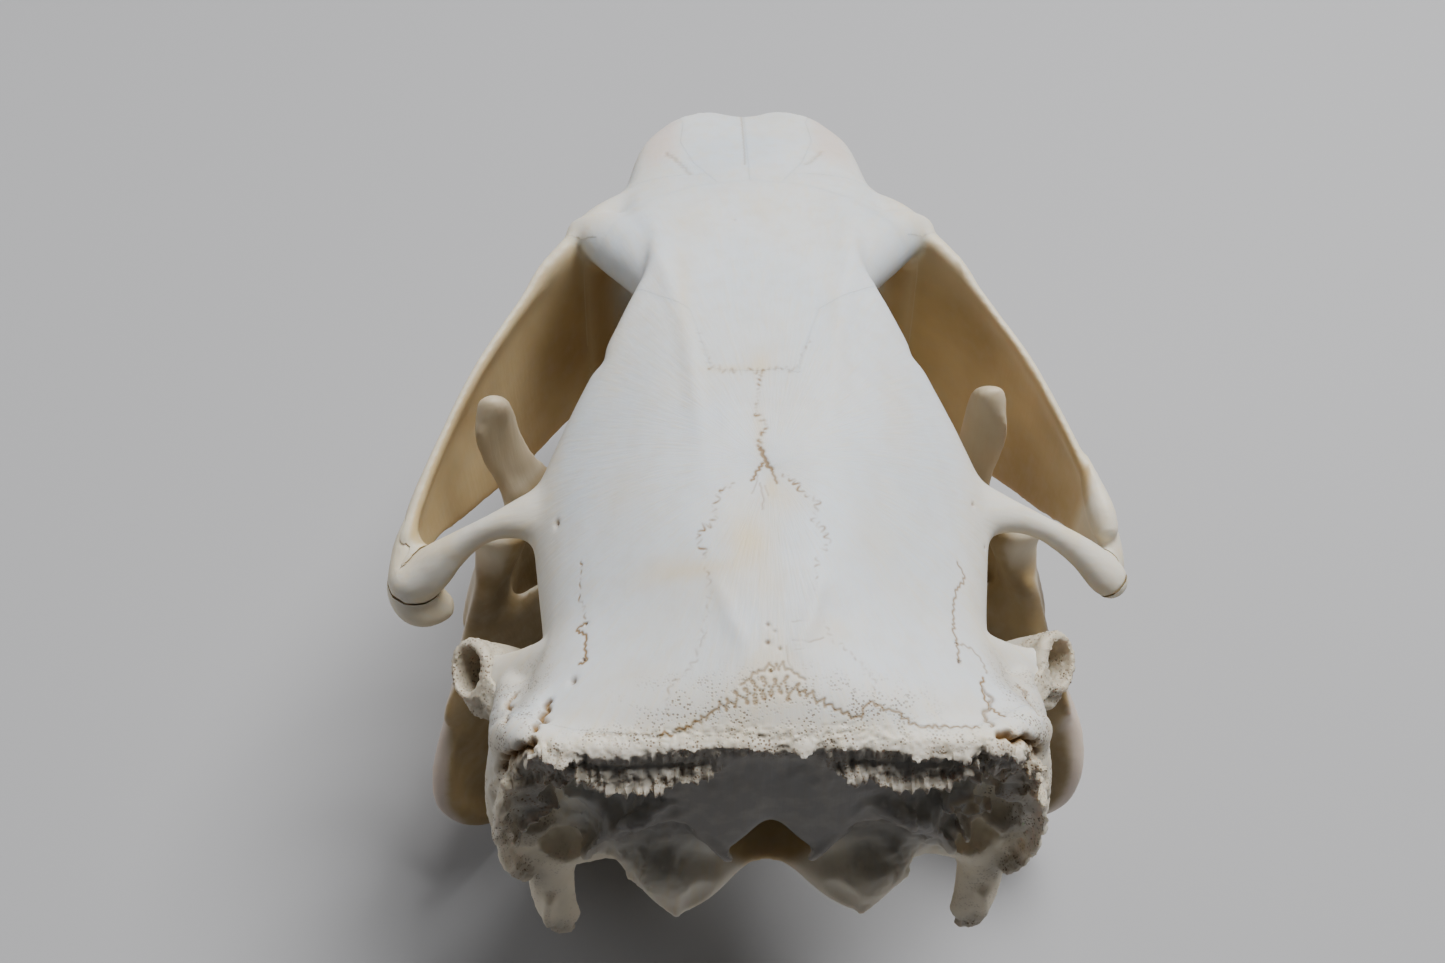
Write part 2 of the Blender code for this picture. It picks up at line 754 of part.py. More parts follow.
def cheek_tooth(side, index, lower):
    """One grinding tooth: a folded column, rooted in the jaw."""
    y = CHEEK_FRONT - CHEEK_LENGTH * (index + 0.5)
    spread = index / (CHEEK_TEETH - 1)
    wide = CHEEK_WIDTH * (1.0, 1.04, 1.0, 0.9)[index]
    long = CHEEK_LENGTH * (1.06, 0.98, 0.96, 0.98)[index]
    x = (9.2 + 3.4 * spread) if not lower else (9.6 + 3.6 * spread)
    low, high = (-CROWN, 6.0) if not lower else (-17.0, -CROWN - 0.5)
    rings = []
    for z in (low, high):
        ring = []
        for k in range(20):
            angle = 2 * math.pi * k / 20
            c, s = math.cos(angle), math.sin(angle)
            fold = 1.0 - 0.07 * (math.cos(5 * angle + index) > 0.6)
            u = math.copysign(abs(c) ** 0.62, c) * wide / 2 * fold
            v = math.copysign(abs(s) ** 0.62, s) * (long / 2 - 0.1) * fold
            ring.append((side * x + u, y + v, z))
        rings.append(ring)
    return loft("cheek_tooth", rings)


def incisor(name, side, lower, grow=0.0):
    """One long curved front tooth, worn to a chisel."""
    if lower:
        turn, radius, start, end = (78.5, 2.0), 29.0, -74.0, -16.0
    else:
        turn, radius, start, end = (92.0, -10.0), 22.5, 26.0, -52.0
    rings = []
    stations = 12
    for k in range(stations):
        angle = math.radians(start + (end - start) * k / (stations - 1))
        centre_y = turn[0] + radius * math.cos(angle)
        centre_z = turn[1] + radius * math.sin(angle)
        half_deep = INCISOR_DEPTH / 2
        if k >= stations - 3:
            half_deep *= (1.0, 0.62, 0.24)[k - stations + 3]
            slip = (0.0, 1.3, 2.6)[k - stations + 3]
        else:
            slip = 0.0
        ring = []
        for j in range(12):
            turn_angle = 2 * math.pi * (j + 0.5) / 12
            c, s = math.cos(turn_angle), math.sin(turn_angle)
            across = math.copysign(abs(c) ** 0.7, c) * (INCISOR_WIDTH / 2 - 0.2 + grow)
            outward = math.copysign(abs(s) ** 0.8, s) * (half_deep + grow) + slip
            ring.append(
                (
                    side * (INCISOR_WIDTH / 2 + 0.1) + across,
                    centre_y + outward * math.cos(angle),
                    centre_z + outward * math.sin(angle),
                )
            )
        rings.append(ring)
    return loft(name, rings)


def lean_in(side, rows):
    """The left jaw's angle leans in a little more than the right one's, most where its rim is highest."""
    if side == RIGHT:
        return rows
    return [(x - LEFT_LEAN * max(0.0, 1 - abs(z + 13) / 12), y, z, *rest) for x, y, z, *rest in rows]


# The lower jaw's half: (x, y, z, half thickness, half height)
def jaw_pieces(side):
    body = [
        (4.6, 96.0, -19.0, 4.3, 5.4),
        (5.2, 89.0, -23.5, 4.9, 8.2),
        (7.4, 79.0, -26.8, 5.6, 12.4),
        (11.6, 68.0, -25.0, 5.8, 14.0),
        (17.5, 57.0, -24.0, 5.0, 15.0),
        (24.5, 48.5, -23.5, 3.8, 15.5),
    ]
    bed = [
        (9.2, 79.0, -14.0, 4.2, 5.0),
        (10.0, 70.0, -15.0, 5.0, 5.8),
        (11.6, 58.0, -15.0, 5.2, 5.8),
        (13.6, 47.0, -15.6, 5.0, 5.4),
    ]
    chin = [
        (3.6, 84.0, -36.4, 3.0, 3.4),
        (4.4, 77.0, -39.9, 3.1, 3.0),
        (5.4, 71.0, -38.4, 2.6, 2.6),
    ]
    angle_plate = [
        (21.0, 55.0, -22.0, 3.6, 15.5),
        (28.0, 48.0, -19.5, 2.4, 18.5),
        (34.0, 42.0, -18.0, 2.0, 22.0),
        (39.0, 36.2, -20.0, 1.9, 19.4),
        (42.8, 30.4, -22.6, 1.6, 14.4),
        (45.0, 26.6, -22.4, 1.5, 8.6),
    ]
    angle_rim = [
        (37.2, 39.6, 9.0, 1.5, 1.7),
        (38.8, 38.8, 4.0, 1.5, 1.7),
        (40.4, 36.8, -1.0, 1.6, 1.8),
        (42.0, 34.6, -5.0, 1.7, 1.9),
        (43.6, 32.0, -9.0, 1.8, 2.0),
        (45.6, 29.4, -13.0, 1.9, 2.2),
        (46.4, 26.0, -18.5, 2.0, 2.3),
        (45.6, 24.4, -24.5, 2.1, 2.3),
        (43.0, 25.4, -31.0, 2.2, 2.3),
        (39.6, 29.2, -36.8, 2.3, 2.2),
        (35.0, 35.6, -40.3, 2.5, 2.4),
        (28.0, 44.4, -40.2, 2.6, 2.4),
        (20.0, 54.0, -38.0, 2.6, 2.4),
        (14.0, 63.0, -36.4, 2.6, 2.6),
    ]
    angle_web = [
        (42.6, 29.6, -29.0, 2.2, 3.4),
        (39.6, 33.0, -34.6, 3.2, 2.6),
        (35.0, 38.6, -37.4, 3.4, 2.4),
        (28.6, 46.0, -37.6, 3.0, 2.4),
    ]
    branch = [
        (22.0, 60.0, -8.0, 2.6, 8.0),
        (27.4, 55.6, -1.0, 1.9, 11.0),
        (32.5, 50.4, 0.5, 1.6, 11.0),
        (36.6, 46.0, 2.0, 1.6, 9.6),
        (39.2, 43.0, 4.0, 1.6, 8.4),
    ]
    neck = [
        (37.4, 42.8, 2.0, 2.4, 3.8),
        (36.6, 43.2, 8.0, 2.7, 3.3),
        (35.4, 43.2, 12.6, 3.3, 2.9),
        (34.6, 43.0, 16.0, 3.9, 2.7),
    ]
    out = 0.0 if side == RIGHT else LEFT_CROWN
    crown_blade = [
        (28.4 + 0.3 * out, 57.6, -5.0, 2.0, 8.0),
        (30.4 + 0.6 * out, 57.2, 6.0, 1.7, 5.6),
        (31.2 + 0.8 * out, 57.0, 15.0, 1.6, 4.3),
        (31.2 + 0.9 * out, 57.0, 22.0, 1.7, 4.1),
        (31.2 + out, 56.8, 26.6, 1.8, 3.8),
        (31.4 + out, 56.6, 28.4, 1.9, 3.2),
    ]
    crown_edge = [
        (33.4 + 0.8 * out, 54.2, 17.0, 1.2, 1.2),
        (33.6 + 0.9 * out, 54.0, 22.0, 1.4, 1.4),
        (33.4 + out, 54.4, 26.0, 1.6, 1.6),
    ]
    capsule = [
        (14.0, 62.0, -28.0, 5.6, 7.0),
        (21.0, 54.0, -23.0, 5.2, 6.2),
        (28.0, 48.0, -15.0, 4.2, 5.2),
        (33.5, 45.0, -7.0, 3.0, 3.6),
    ]
    return [
        limb("jaw_body", flip(body, side), sides=20, square=2.4),
        limb("jaw_bed", flip(bed, side), sides=16, square=2.6),
        limb("chin", flip(chin, side), sides=14),
        limb("angle_plate", flip(lean_in(side, angle_plate), side), sides=16, square=2.8),
        limb("angle_rim", flip(lean_in(side, angle_rim), side), up=(1, 0, 0.2), sides=12),
        limb("angle_web", flip(lean_in(side, angle_web), side), sides=12),
        limb("branch", flip(branch, side), sides=16, square=2.8),
        limb("neck", flip(neck, side), up=(0, 1, 0), sides=14),
        ball("jaw_head", (side * 34.4, 43.0, 17.4), (4.4, 3.4, 2.7), (-20, 0, 0)),
        ball("crown_tip", (side * (31.5 + out), 56.6, 28.2), (3.1, 2.0, 3.4)),
        limb("crown_blade", flip(crown_blade, side), up=(side * 0.64, -0.77, 0), sides=14),
        limb("crown_edge", flip(crown_edge, side), up=(0, 1, 0), sides=10),
        limb("capsule", flip(capsule, side), sides=14),
    ]


def make_jaw(side, name):
    """Half of the lower jaw with its cheek teeth."""
    body = fuse(join(name, jaw_pieces(side)), 2600)
    teeth = [cheek_tooth(side, index, True) for index in range(CHEEK_TEETH)]
    boolean(body, teeth, "UNION")
    return keep_largest(body)


def jaw_cutters(side):
    """The front tooth's socket, the joint in the middle, and the floor that the jaw stands on."""
    inner = [(-side * 30, 40), (side * GAP / 2, 40), (side * GAP / 2, 130), (-side * 30, 130)]
    under = [(-70, -30), (70, -30), (70, 150), (-70, 150)]
    return [
        incisor("socket", side, True, GAP),
        prism("middle_cut", inner, -JAW_DEPTH - 20, 20),
        prism("floor_cut", under, -JAW_DEPTH - 20, -JAW_DEPTH),
    ]


# Where the bones of the upper skull meet, seen from above
OCCIPUT_EDGE = [(0, 5.2), (5, 4.4), (12, 2.9), (21, 3.2), (28, 6.8), (40, 11.0)]
FRONTAL_BACK = [(0, 47.2), (6, 47.8), (8.6, 58.5), (17, 66.0), (24, 70.0)]
FRONTAL_FRONT = [(21, 77.5), (14, 86.0), (8, 90.0), (0, 91.5)]
FRONTAL_FLOOR = 26.0
NASAL_EDGE = [(GAP / 2, 86.0), (4.2, 88.0), (8.0, 97.0), (10.0, 106.0), (9.6, 114.0), (12.5, 126.0), (GAP / 2, 126.0)]
NASAL_LEAN = -21.0
NASAL_DEPTH = 2.6
SNOUT_JOINT = [(91.5, 60.0), (95.5, 22.0), (94.0, -20.0)]
UPPER_JAW_BACK = [(43.0, -20.0), (43.0, 9.0), (56.0, 19.0), (62.0, 25.6), (71.0, 25.6), (71.0, 60.0)]


def occiput_region(grow):
    edge = [(-x, y) for x, y in OCCIPUT_EDGE[::-1]] + OCCIPUT_EDGE[1:]
    return prism("region", edge + [(40, -30), (-40, -30)], -30, 70, grow=grow)


def frontal_region(grow):
    half = FRONTAL_FRONT[::-1] + FRONTAL_BACK[::-1]
    left = [(-x, y) for x, y in half[::-1] if x > 0]
    return prism("region", half + left, FRONTAL_FLOOR, 70, grow=grow)


def nasal_region(side, grow):
    outline = [(side * x, y) for x, y in NASAL_EDGE]
    middle = np.mean([y for _, y in NASAL_EDGE])
    at = curve_through([(row[0], row[1]) for row in CORE_STATIONS])
    roof = float(at(middle)[0])
    return prism("region", outline, roof - NASAL_DEPTH, roof + 12, lean=NASAL_LEAN, grow=grow)


def snout_region(grow):
    outline = SNOUT_JOINT + [(140, -20), (140, 60)]
    return prism("region", outline, -40, 40, along="X", grow=grow)


def upper_jaw_region(grow):
    outline = UPPER_JAW_BACK + [(140, 60), (140, -20)]
    return prism("region", outline, -40, 40, along="X", grow=grow)


def arch_joint(side, grow, back):
    """What lies behind the joint of the cheek arch with its root."""
    outline = [(side * 20, 78.0), (side * 27.0, 83.0), (side * 60, 83.0), (side * 60, back), (side * 20, back)]
    return prism("region", outline, -30, 70, grow=grow)


def make_ear(side):
    """The ear capsule and its tube, with the ear opening bored in."""
    ear = fuse(join("ear", bulla_pieces(side)), 800)
    return carve(ear, [ear_opening(side)])


def make_arch(side, name):
    """The cheek bone, from its joint with the root to under the temporal bar."""
    front = ARCH_ROOT[2:] + ARCH_PLATE
    body = join(name, [arch_plate(side, front + ARCH_END[side]), arch_rim(side, front, 1.3)])
    body = fuse(body, 1200)
    boolean(body, [arch_joint(side, 0.0, 20.0)], "INTERSECT")
    carve(body, [temporal_bar(side, GAP + 0.1)])
    return keep_largest(body)


def material(name, colour, roughness):
    finish = bpy.data.materials.new(name)
    finish.use_nodes = True
    shader = finish.node_tree.nodes["Principled BSDF"]
    shader.inputs["Base Color"].default_value = (*colour, 1.0)
    shader.inputs["Roughness"].default_value = roughness
    shader.inputs["Metallic"].default_value = 0.0
    return finish


def finish_piece(thing, name, finish, faces, cutters=()):
    """Thin a bone, make its exact cuts, name it, give it its material, and set it on the floor."""
    keep_largest(carve(thin_out(keep_largest(thing), faces), cutters))
    thing.name = name
    thing.data.name = name
    place = Matrix.Scale(MM, 4) @ Matrix.Translation((-MIDDLE_X, -MIDDLE_Y, JAW_DEPTH))
    thing.data.transform(place)
    thing.data.materials.clear()
    thing.data.materials.append(finish)
    thing.data.shade_smooth()
    thing.data.set_sharp_from_angle(angle=math.radians(50))


def main():
    for thing in list(bpy.data.objects):
        bpy.data.objects.remove(thing)
    bone = material("bone", COLOURS["bone"], 0.5)
    rough = material("rough_bone", COLOURS["rough_bone"], 0.7)
    jaw_bone = material("jaw_bone", COLOURS["jaw_bone"], 0.5)
    enamel = material("enamel", COLOURS["enamel"], 0.25)

    cranium = make_cranium()
    for side in (RIGHT, LEFT):
        boolean(cranium, [cheek_tooth(side, index, False) for index in range(CHEEK_TEETH)], "UNION")
        carve(cranium, bulla_pieces(side, GAP) + [arch_joint(side, GAP, 55.0)])
    occiput = part_off(cranium, "occiput", occiput_region)
    frontal = part_off(cranium, "frontal", frontal_region)
    nasal_right = part_off(cranium, "nasal_right", lambda grow: nasal_region(RIGHT, grow))
    nasal_left = part_off(cranium, "nasal_left", lambda grow: nasal_region(LEFT, grow))
    upper_jaw = part_off(cranium, "upper_jaw", upper_jaw_region)
    snout = part_off(upper_jaw, "snout", snout_region)
    finish_piece(cranium, "braincase", bone, 3600)
    finish_piece(occiput, "occiput", rough, 1900)
    finish_piece(frontal, "frontal", bone, 320)
    finish_piece(upper_jaw, "upper_jaw", bone, 2000)
    sockets = [incisor("socket", side, False, GAP) for side in (RIGHT, LEFT)]
    finish_piece(snout, "snout", bone, 900, sockets)
    finish_piece(nasal_right, "nasal_right", bone, 180)
    finish_piece(nasal_left, "nasal_left", bone, 180)
    for side, word in ((RIGHT, "right"), (LEFT, "left")):
        finish_piece(make_arch(side, "arch"), "cheek_arch_" + word, bone, 560)
        finish_piece(make_ear(side), "ear_capsule_" + word, rough, 480)
        finish_piece(make_jaw(side, "jaw"), "jaw_" + word, jaw_bone, 1350, jaw_cutters(side))
        finish_piece(incisor("upper", side, False), "upper_incisor_" + word, enamel, 400)
        finish_piece(incisor("lower", side, True), "lower_incisor_" + word, enamel, 400)


main()
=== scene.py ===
"""The finish of a beaver skull: its bones, sutures, pores and teeth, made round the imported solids."""

import math

import bmesh
import bpy
import numpy as np
from bpy.props import FloatProperty, FloatVectorProperty, PointerProperty
from mathutils import Matrix, Vector, kdtree, noise
from mathutils.bvhtree import BVHTree


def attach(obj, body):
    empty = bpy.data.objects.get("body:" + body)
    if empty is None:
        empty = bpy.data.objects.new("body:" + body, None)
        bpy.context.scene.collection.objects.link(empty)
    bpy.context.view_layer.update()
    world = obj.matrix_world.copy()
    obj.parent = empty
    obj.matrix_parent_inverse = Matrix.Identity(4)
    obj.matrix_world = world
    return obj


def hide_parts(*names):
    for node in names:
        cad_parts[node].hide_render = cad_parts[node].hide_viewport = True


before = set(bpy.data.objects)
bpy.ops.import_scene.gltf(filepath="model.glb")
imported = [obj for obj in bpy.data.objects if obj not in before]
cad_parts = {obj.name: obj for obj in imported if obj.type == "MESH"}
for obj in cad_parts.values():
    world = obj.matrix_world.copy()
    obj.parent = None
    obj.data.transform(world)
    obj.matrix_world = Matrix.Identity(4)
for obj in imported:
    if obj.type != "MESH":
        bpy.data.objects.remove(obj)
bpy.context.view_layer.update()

bl_info = {
    "name": "Beaver skull",
    "version": (1, 0, 0),
    "blender": (4, 5, 0),
    "location": "View3D > Sidebar > Skull",
    "description": "Finishes the packed bones of a beaver skull and sets them on a pale stage",
    "category": "Object",
}

# Shapes are worked out in millimetres on the skull's own landmarks, as the solids are: x runs to
# the skull's right, y forward from the crest at its back, and z up from the rim of the upper tooth
# sockets. HOME is where the model's origin lies there, and PLACE sets a finished bone in metres.
MM = 0.001
HOME = Vector((-0.27, 57.42, -42.0))
PLACE = Matrix.Scale(MM, 4) @ Matrix.Translation(-HOME)

CRANIUM = (
    "braincase", "occiput", "frontal", "nasal_right", "nasal_left", "snout", "upper_jaw",
    "cheek_arch_right", "cheek_arch_left",
)
PARTING = 0.2  # how far a packed bone is swollen to close the gap to its neighbours
KEPT_SWELL = 0.05  # how much of that stays on the finished skull
SEAM = 0.02  # the hairline left between finished bones
FAN_CENTRE = Vector((0.5, 33.0, 44.4))  # where the fine lines on the vault fan out from
COARSE = 0.6  # grain of the upper skull before its details
JAW_GRAIN = 0.5
EAR_GRAIN = (0.36, 0.32)  # before and after its opening is bored
TOOTH_GRAIN = 0.2
WELD = 0.003  # points of a packed bone this close are one
SLIVER = 0.002  # edges this short are closed up
CRUMB = 60  # a loose shell with fewer faces than this is dropped
CREASE_ANGLE = math.radians(58)  # an edge sharper than this stays sharp when a bone is rounded
SHARP_ANGLE = math.radians(50)  # and is shaded sharp on a finished bone
CAP_ANGLES = (30, 58, 80)  # degrees round a bar's end at which its rings lie
RIGHT = 1
LEFT = -1
SIDES = ((RIGHT, "right"), (LEFT, "left"))


# Making and joining shapes


def added(name, data):
    """A new object of a mesh, a light or a camera, in the scene."""
    thing = bpy.data.objects.new(name, data)
    bpy.context.scene.collection.objects.link(thing)
    return thing


def from_bmesh(name, bm):
    """A new object from a bmesh, which is freed."""
    mesh = bpy.data.meshes.new(name)
    bm.to_mesh(mesh)
    bm.free()
    return added(name, mesh)


def removed(things):
    """Remove objects with their meshes."""
    for thing in things:
        mesh = thing.data
        bpy.data.objects.remove(thing)
        bpy.data.meshes.remove(mesh)


def applied(thing):
    """Make a piece's evaluated mesh its own."""
    seen = thing.evaluated_get(bpy.context.evaluated_depsgraph_get())
    mesh = bpy.data.meshes.new_from_object(seen)
    thing.modifiers.clear()
    old = thing.data
    thing.data = mesh
    bpy.data.meshes.remove(old)
    return thing


def merged(name, things):
    """One object that holds the shells of several, which may overlap until they are melted."""
    bm = bmesh.new()
    for thing in things:
        bm.from_mesh(thing.data)
    removed(things)
    return from_bmesh(name, bm)


def swell(thing, amount):
    """Move a bone's whole skin outwards, or inwards where amount is below 0."""
    step = thing.modifiers.new("swell", "DISPLACE")
    step.mid_level = 0.0
    step.strength = amount
    return applied(thing)


def melt(thing, grain, soften):
    """Regrain a bone's skin into small even faces, joined where its shells overlap."""
    regrain = thing.modifiers.new("grain", "REMESH")
    regrain.mode = "VOXEL"
    regrain.voxel_size = grain
    smooth = thing.modifiers.new("soften", "SMOOTH")
    smooth.factor = 0.5
    smooth.iterations = soften
    return applied(thing)


def cut(body, tool, operation="DIFFERENCE"):
    """Take a tool's shape from a body, or keep only what both share. The tool is used up."""
    step = body.modifiers.new("cut", "BOOLEAN")
    step.operation = operation
    step.solver = "MANIFOLD"
    step.object = tool
    applied(body)
    removed([tool])
    return body


def rounded_copy(node, swollen=0.0):
    """A packed bone in millimetres, with its facets rounded and only its cut edges left sharp."""
    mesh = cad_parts[node].data.copy()
    mesh.materials.clear()
    thing = added(node + "_copy", mesh)
    bm = bmesh.new()
    bm.from_mesh(mesh)
    bmesh.ops.transform(bm, matrix=PLACE.inverted(), verts=bm.verts)
    bmesh.ops.remove_doubles(bm, verts=bm.verts, dist=WELD)
    crease = bm.edges.layers.float.new("crease_edge")
    for edge in bm.edges:
        if len(edge.link_faces) == 2 and edge.calc_face_angle() > CREASE_ANGLE:
            edge[crease] = 1.0
    bm.to_mesh(mesh)
    bm.free()
    curve = thing.modifiers.new("round", "SUBSURF")
    curve.levels = 1
    curve.render_levels = 1
    applied(thing)
    return swell(thing, swollen) if swollen else thing


def smooth_path(points, per_span=4):
    """Rows along a Catmull-Rom curve through the given ones."""
    rows = np.array(points, float)
    last = len(rows) - 1
    found = []
    for i in range(last):
        a, b, c, d = rows[max(i - 1, 0)], rows[i], rows[i + 1], rows[min(i + 2, last)]
        for t in np.arange(per_span) / per_span:
            bend = (2 * a - 5 * b + 4 * c - d) * t**2
            found.append(0.5 * (2 * b + (c - a) * t + bend + (3 * b - a - 3 * c + d) * t**3))
    found.append(rows[last])
    return np.array(found)


def measured(points):
    """A curve through points, as a function of how far along it a place lies, and its length."""
    path = smooth_path(points, 24)
    length = np.concatenate([[0], np.cumsum(np.linalg.norm(np.diff(path, axis=0), axis=1))])

    def at(s):
        return Vector([np.interp(s, length, path[:, k]) for k in range(3)])

    return at, length[-1]


def sweep(name, rows, up=(0, 0, 1), sides=12, side=RIGHT):
    """A closed bar with rounded ends along rows of (x, y, z, half thickness, half height)."""
    path = smooth_path([(side * row[0], *row[1:]) for row in rows])
    along = np.gradient(path[:, :3], axis=0)
    stations = []
    for row, way in zip(path, along):
        forward = Vector(way).normalized()
        lift = (Vector(up) - Vector(up).dot(forward) * forward).normalized()
        across = forward.cross(lift)
        stations.append([Vector(row[:3]), across, lift, forward, row[3], row[4]])
    ends = []
    for station, turn in ((stations[0], -1), (stations[-1], 1)):
        reach = min(station[4], station[5])
        caps = []
        for angle in CAP_ANGLES:
            place = station[0] + turn * station[3] * reach * math.sin(math.radians(angle))
            shrink = math.cos(math.radians(angle))
            caps.append([place, *station[1:4], station[4] * shrink, station[5] * shrink])
        ends.append(caps)
    stations = ends[0][::-1] + stations + ends[1]
    frames = []
    for place, across, lift, forward, thick, high in stations:
        turned = Matrix((across * thick, lift * high, forward)).transposed().to_4x4()
        frames.append(Matrix.Translation(place) @ turned)
    bm = bmesh.new()
    ring = bmesh.ops.create_circle(bm, segments=sides, radius=1.0)["verts"]
    bmesh.ops.transform(bm, matrix=frames[0], verts=ring)
    edges = bm.edges[:]
    first = edges
    for before, after in zip(frames, frames[1:]):
        grown = bmesh.ops.extrude_edge_only(bm, edges=edges)["geom"]
        ring = [item for item in grown if isinstance(item, bmesh.types.BMVert)]
        edges = [item for item in grown if isinstance(item, bmesh.types.BMEdge)]
        edges = [edge for edge in edges if edge.is_boundary]
        bmesh.ops.transform(bm, matrix=after @ before.inverted(), verts=ring)
    for end in (first, edges):
        bmesh.ops.edgeloop_fill(bm, edges=end)
    bmesh.ops.recalc_face_normals(bm, faces=bm.faces)
    return from_bmesh(name, bm)


def ball(name, centre, radii, turn=(0, 0, 0)):
    """An egg shape, turned by three angles in degrees."""
    bm = bmesh.new()
    bmesh.ops.create_icosphere(bm, subdivisions=3, radius=1.0)
    rotate = Matrix.Identity(4)
    for angle, axis in zip(turn, "XYZ"):
        rotate = Matrix.Rotation(math.radians(angle), 4, axis) @ rotate
    size = Matrix.Diagonal((*radii, 1.0))
    bmesh.ops.transform(bm, matrix=Matrix.Translation(centre) @ rotate @ size, verts=bm.verts)
    return from_bmesh(name, bm)


def knobs(name, rows):
    """Many small egg shapes in one object, from rows of a place and three radii."""
    bm = bmesh.new()
    for centre, radii in rows:
        made_now = bmesh.ops.create_icosphere(bm, subdivisions=2, radius=1.0)["verts"]
        size = Matrix.Diagonal((*radii, 1.0))
        bmesh.ops.transform(bm, matrix=Matrix.Translation(centre) @ size, verts=made_now)
    return from_bmesh(name, bm)


def region(outline, low, high, along="Z", lean=0.0, shift=(0, 0, 0)):
    """The space on one side of a seam: an outline pushed along an axis, tipped about x by lean."""
    bm = bmesh.new()
    if along == "Z":
        corners = [(u, v, low) for u, v in outline]
        deep = (0, 0, high - low)
    else:
        corners = [(low, u, v) for u, v in outline]
        deep = (high - low, 0, 0)
    base = bm.faces.new([bm.verts.new(corner) for corner in corners])
    grown = bmesh.ops.extrude_face_region(bm, geom=[base])["geom"]
    far = [item for item in grown if isinstance(item, bmesh.types.BMVert)]
    bmesh.ops.translate(bm, vec=deep, verts=far)
    if lean:
        middle = (0, sum(v for _, v in outline) / len(outline), low)
        tipped = Matrix.Rotation(math.radians(lean), 3, "X")
        bmesh.ops.rotate(bm, cent=middle, matrix=tipped, verts=bm.verts)
    bmesh.ops.translate(bm, vec=shift, verts=bm.verts)
    bmesh.ops.recalc_face_normals(bm, faces=bm.faces)
    return from_bmesh("region", bm)


def part_off(body, name, taken, left):
    """Part a bone from the body: what lies in one space is taken, and what lies in the other goes."""
    piece = added(name, body.data.copy())
    cut(piece, taken, "INTERSECT")
    cut(body, left)
    return piece


def part_at(body, name, shift, *outline, **how):
    """Part a bone from the body along a seam. shift opens the hairline between the two."""
    return part_off(body, name, region(*outline, **how), region(*outline, shift=shift, **how))


def cleaned(thing):
    """Drop the slivers and the loose crumbs that cutting leaves on a bone."""
    bm = bmesh.new()
    bm.from_mesh(thing.data)
    bmesh.ops.dissolve_degenerate(bm, dist=SLIVER, edges=bm.edges)
    waiting = set(bm.faces)
    crumbs = []
    while waiting:
        island = [waiting.pop()]
        for face in island:
            for edge in face.edges:
                for other in edge.link_faces:
                    if other in waiting:
                        waiting.remove(other)
                        island.append(other)
        if len(island) < CRUMB:
            crumbs += island
    bmesh.ops.delete(bm, geom=crumbs, context="FACES")
    bm.to_mesh(thing.data)
    bm.free()
    return thing


# Lines and pits laid on a bone


class Marks:
    """Points laid on a bone's skin, each with its reach, its height and how dirty it is."""

    def __init__(self, body):
        corners = [vert.co for vert in body.data.vertices]
        self.skin = BVHTree.FromPolygons(corners, [tuple(face.vertices) for face in body.data.polygons])
        self.places = []
        self.values = []

    def line(
        self, points, reach, height, dirt=0.0, wander=0.0, period=1.0, loops=0.0, seed=0.0,
        swing=None, broad=False,
    ):
        """A line through points, which may wander like a suture, with loops where it folds back.

        Dirt below 0 comes and goes along the line, and a broad line dies away at both ends.
        """
        at, whole = measured(points)
        for s in np.arange(0.0, whole, max(0.05, min(0.3, reach / 3))):
            place = at(s)
            way = (at(s + 0.2) - at(s - 0.2)).normalized()
            found = self.skin.find_nearest(place)
            across = way.cross(found[1])
            size = wander * (1.0 if swing is None else swing(s / whole))
            jitter = noise.noise(Vector((s / period * 0.7, seed, 0.0)))
            turn = 2 * math.pi * (s / period + 0.6 * jitter)
            uneven = 0.7 + 0.9 * noise.noise(Vector((seed, s / period * 0.6, 3.0)))
            stray = noise.noise(Vector((s / period * 1.3, seed, 9.0)))
            shift = size * (uneven * math.sin(turn) + 0.7 * stray)
            slide = loops * size * math.sin(2 * turn)
            laid = self.skin.find_nearest(place + across * shift + way * slide)
            fade = 1.0 if dirt >= 0 else abs(noise.noise(Vector((s * 1.3, seed, 7.0)))) * 2
            if broad:
                fade = ease(s / whole, 0.0, 0.25) * fall(s / whole, 0.55, 1.0)
            self.keep(laid, reach, height * fade if broad or dirt < 0 else height, abs(dirt) * fade)

    def pit(self, place, reach, depth, dirt):
        """A small hole in the skin nearest to a place."""
        self.keep(self.skin.find_nearest(Vector(place)), reach, -depth, dirt)

    def keep(self, laid, reach, height, dirt):
        """Keep a mark on the skin and, where it is cut deep, again on the way down to its bottom."""
        for down in np.arange(0.0, max(-height, 0.01), 0.25):
            self.places.append(laid[0] - laid[1] * down)
            self.values.append((reach, height, dirt))

    def ready(self):
        """Sort the marks, once all are laid, so that they can be read."""
        self.tree = kdtree.KDTree(len(self.places))
        for i, place in enumerate(self.places):
            self.tree.insert(place, i)
        self.tree.balance()
        self.values = np.array(self.values, float)
        return self

    def read(self, points):
        """The height and the dirt that the nearest mark gives each point, and how far off it is."""
        found = [self.tree.find(point)[1:] for point in points]
        index = np.array([row[0] for row in found], int)
        gap = np.array([row[1] for row in found], float)
        reach, height, dirt = self.values[index].T
        near = np.exp(-((gap / reach) ** 2))
        return height * near, dirt * near, gap


def positions(thing):
    """Each point of a piece, as rows of x, y and z."""
    count = len(thing.data.vertices)
    co = np.empty(count * 3, np.float32)
    thing.data.vertices.foreach_get("co", co)
    return co.reshape(count, 3)


def normals(thing):
    """Which way the skin faces at each point of a piece."""
    count = len(thing.data.vertices)
    way = np.empty(count * 3, np.float32)
    thing.data.vertex_normals.foreach_get("vector", way)
    return way.reshape(count, 3)


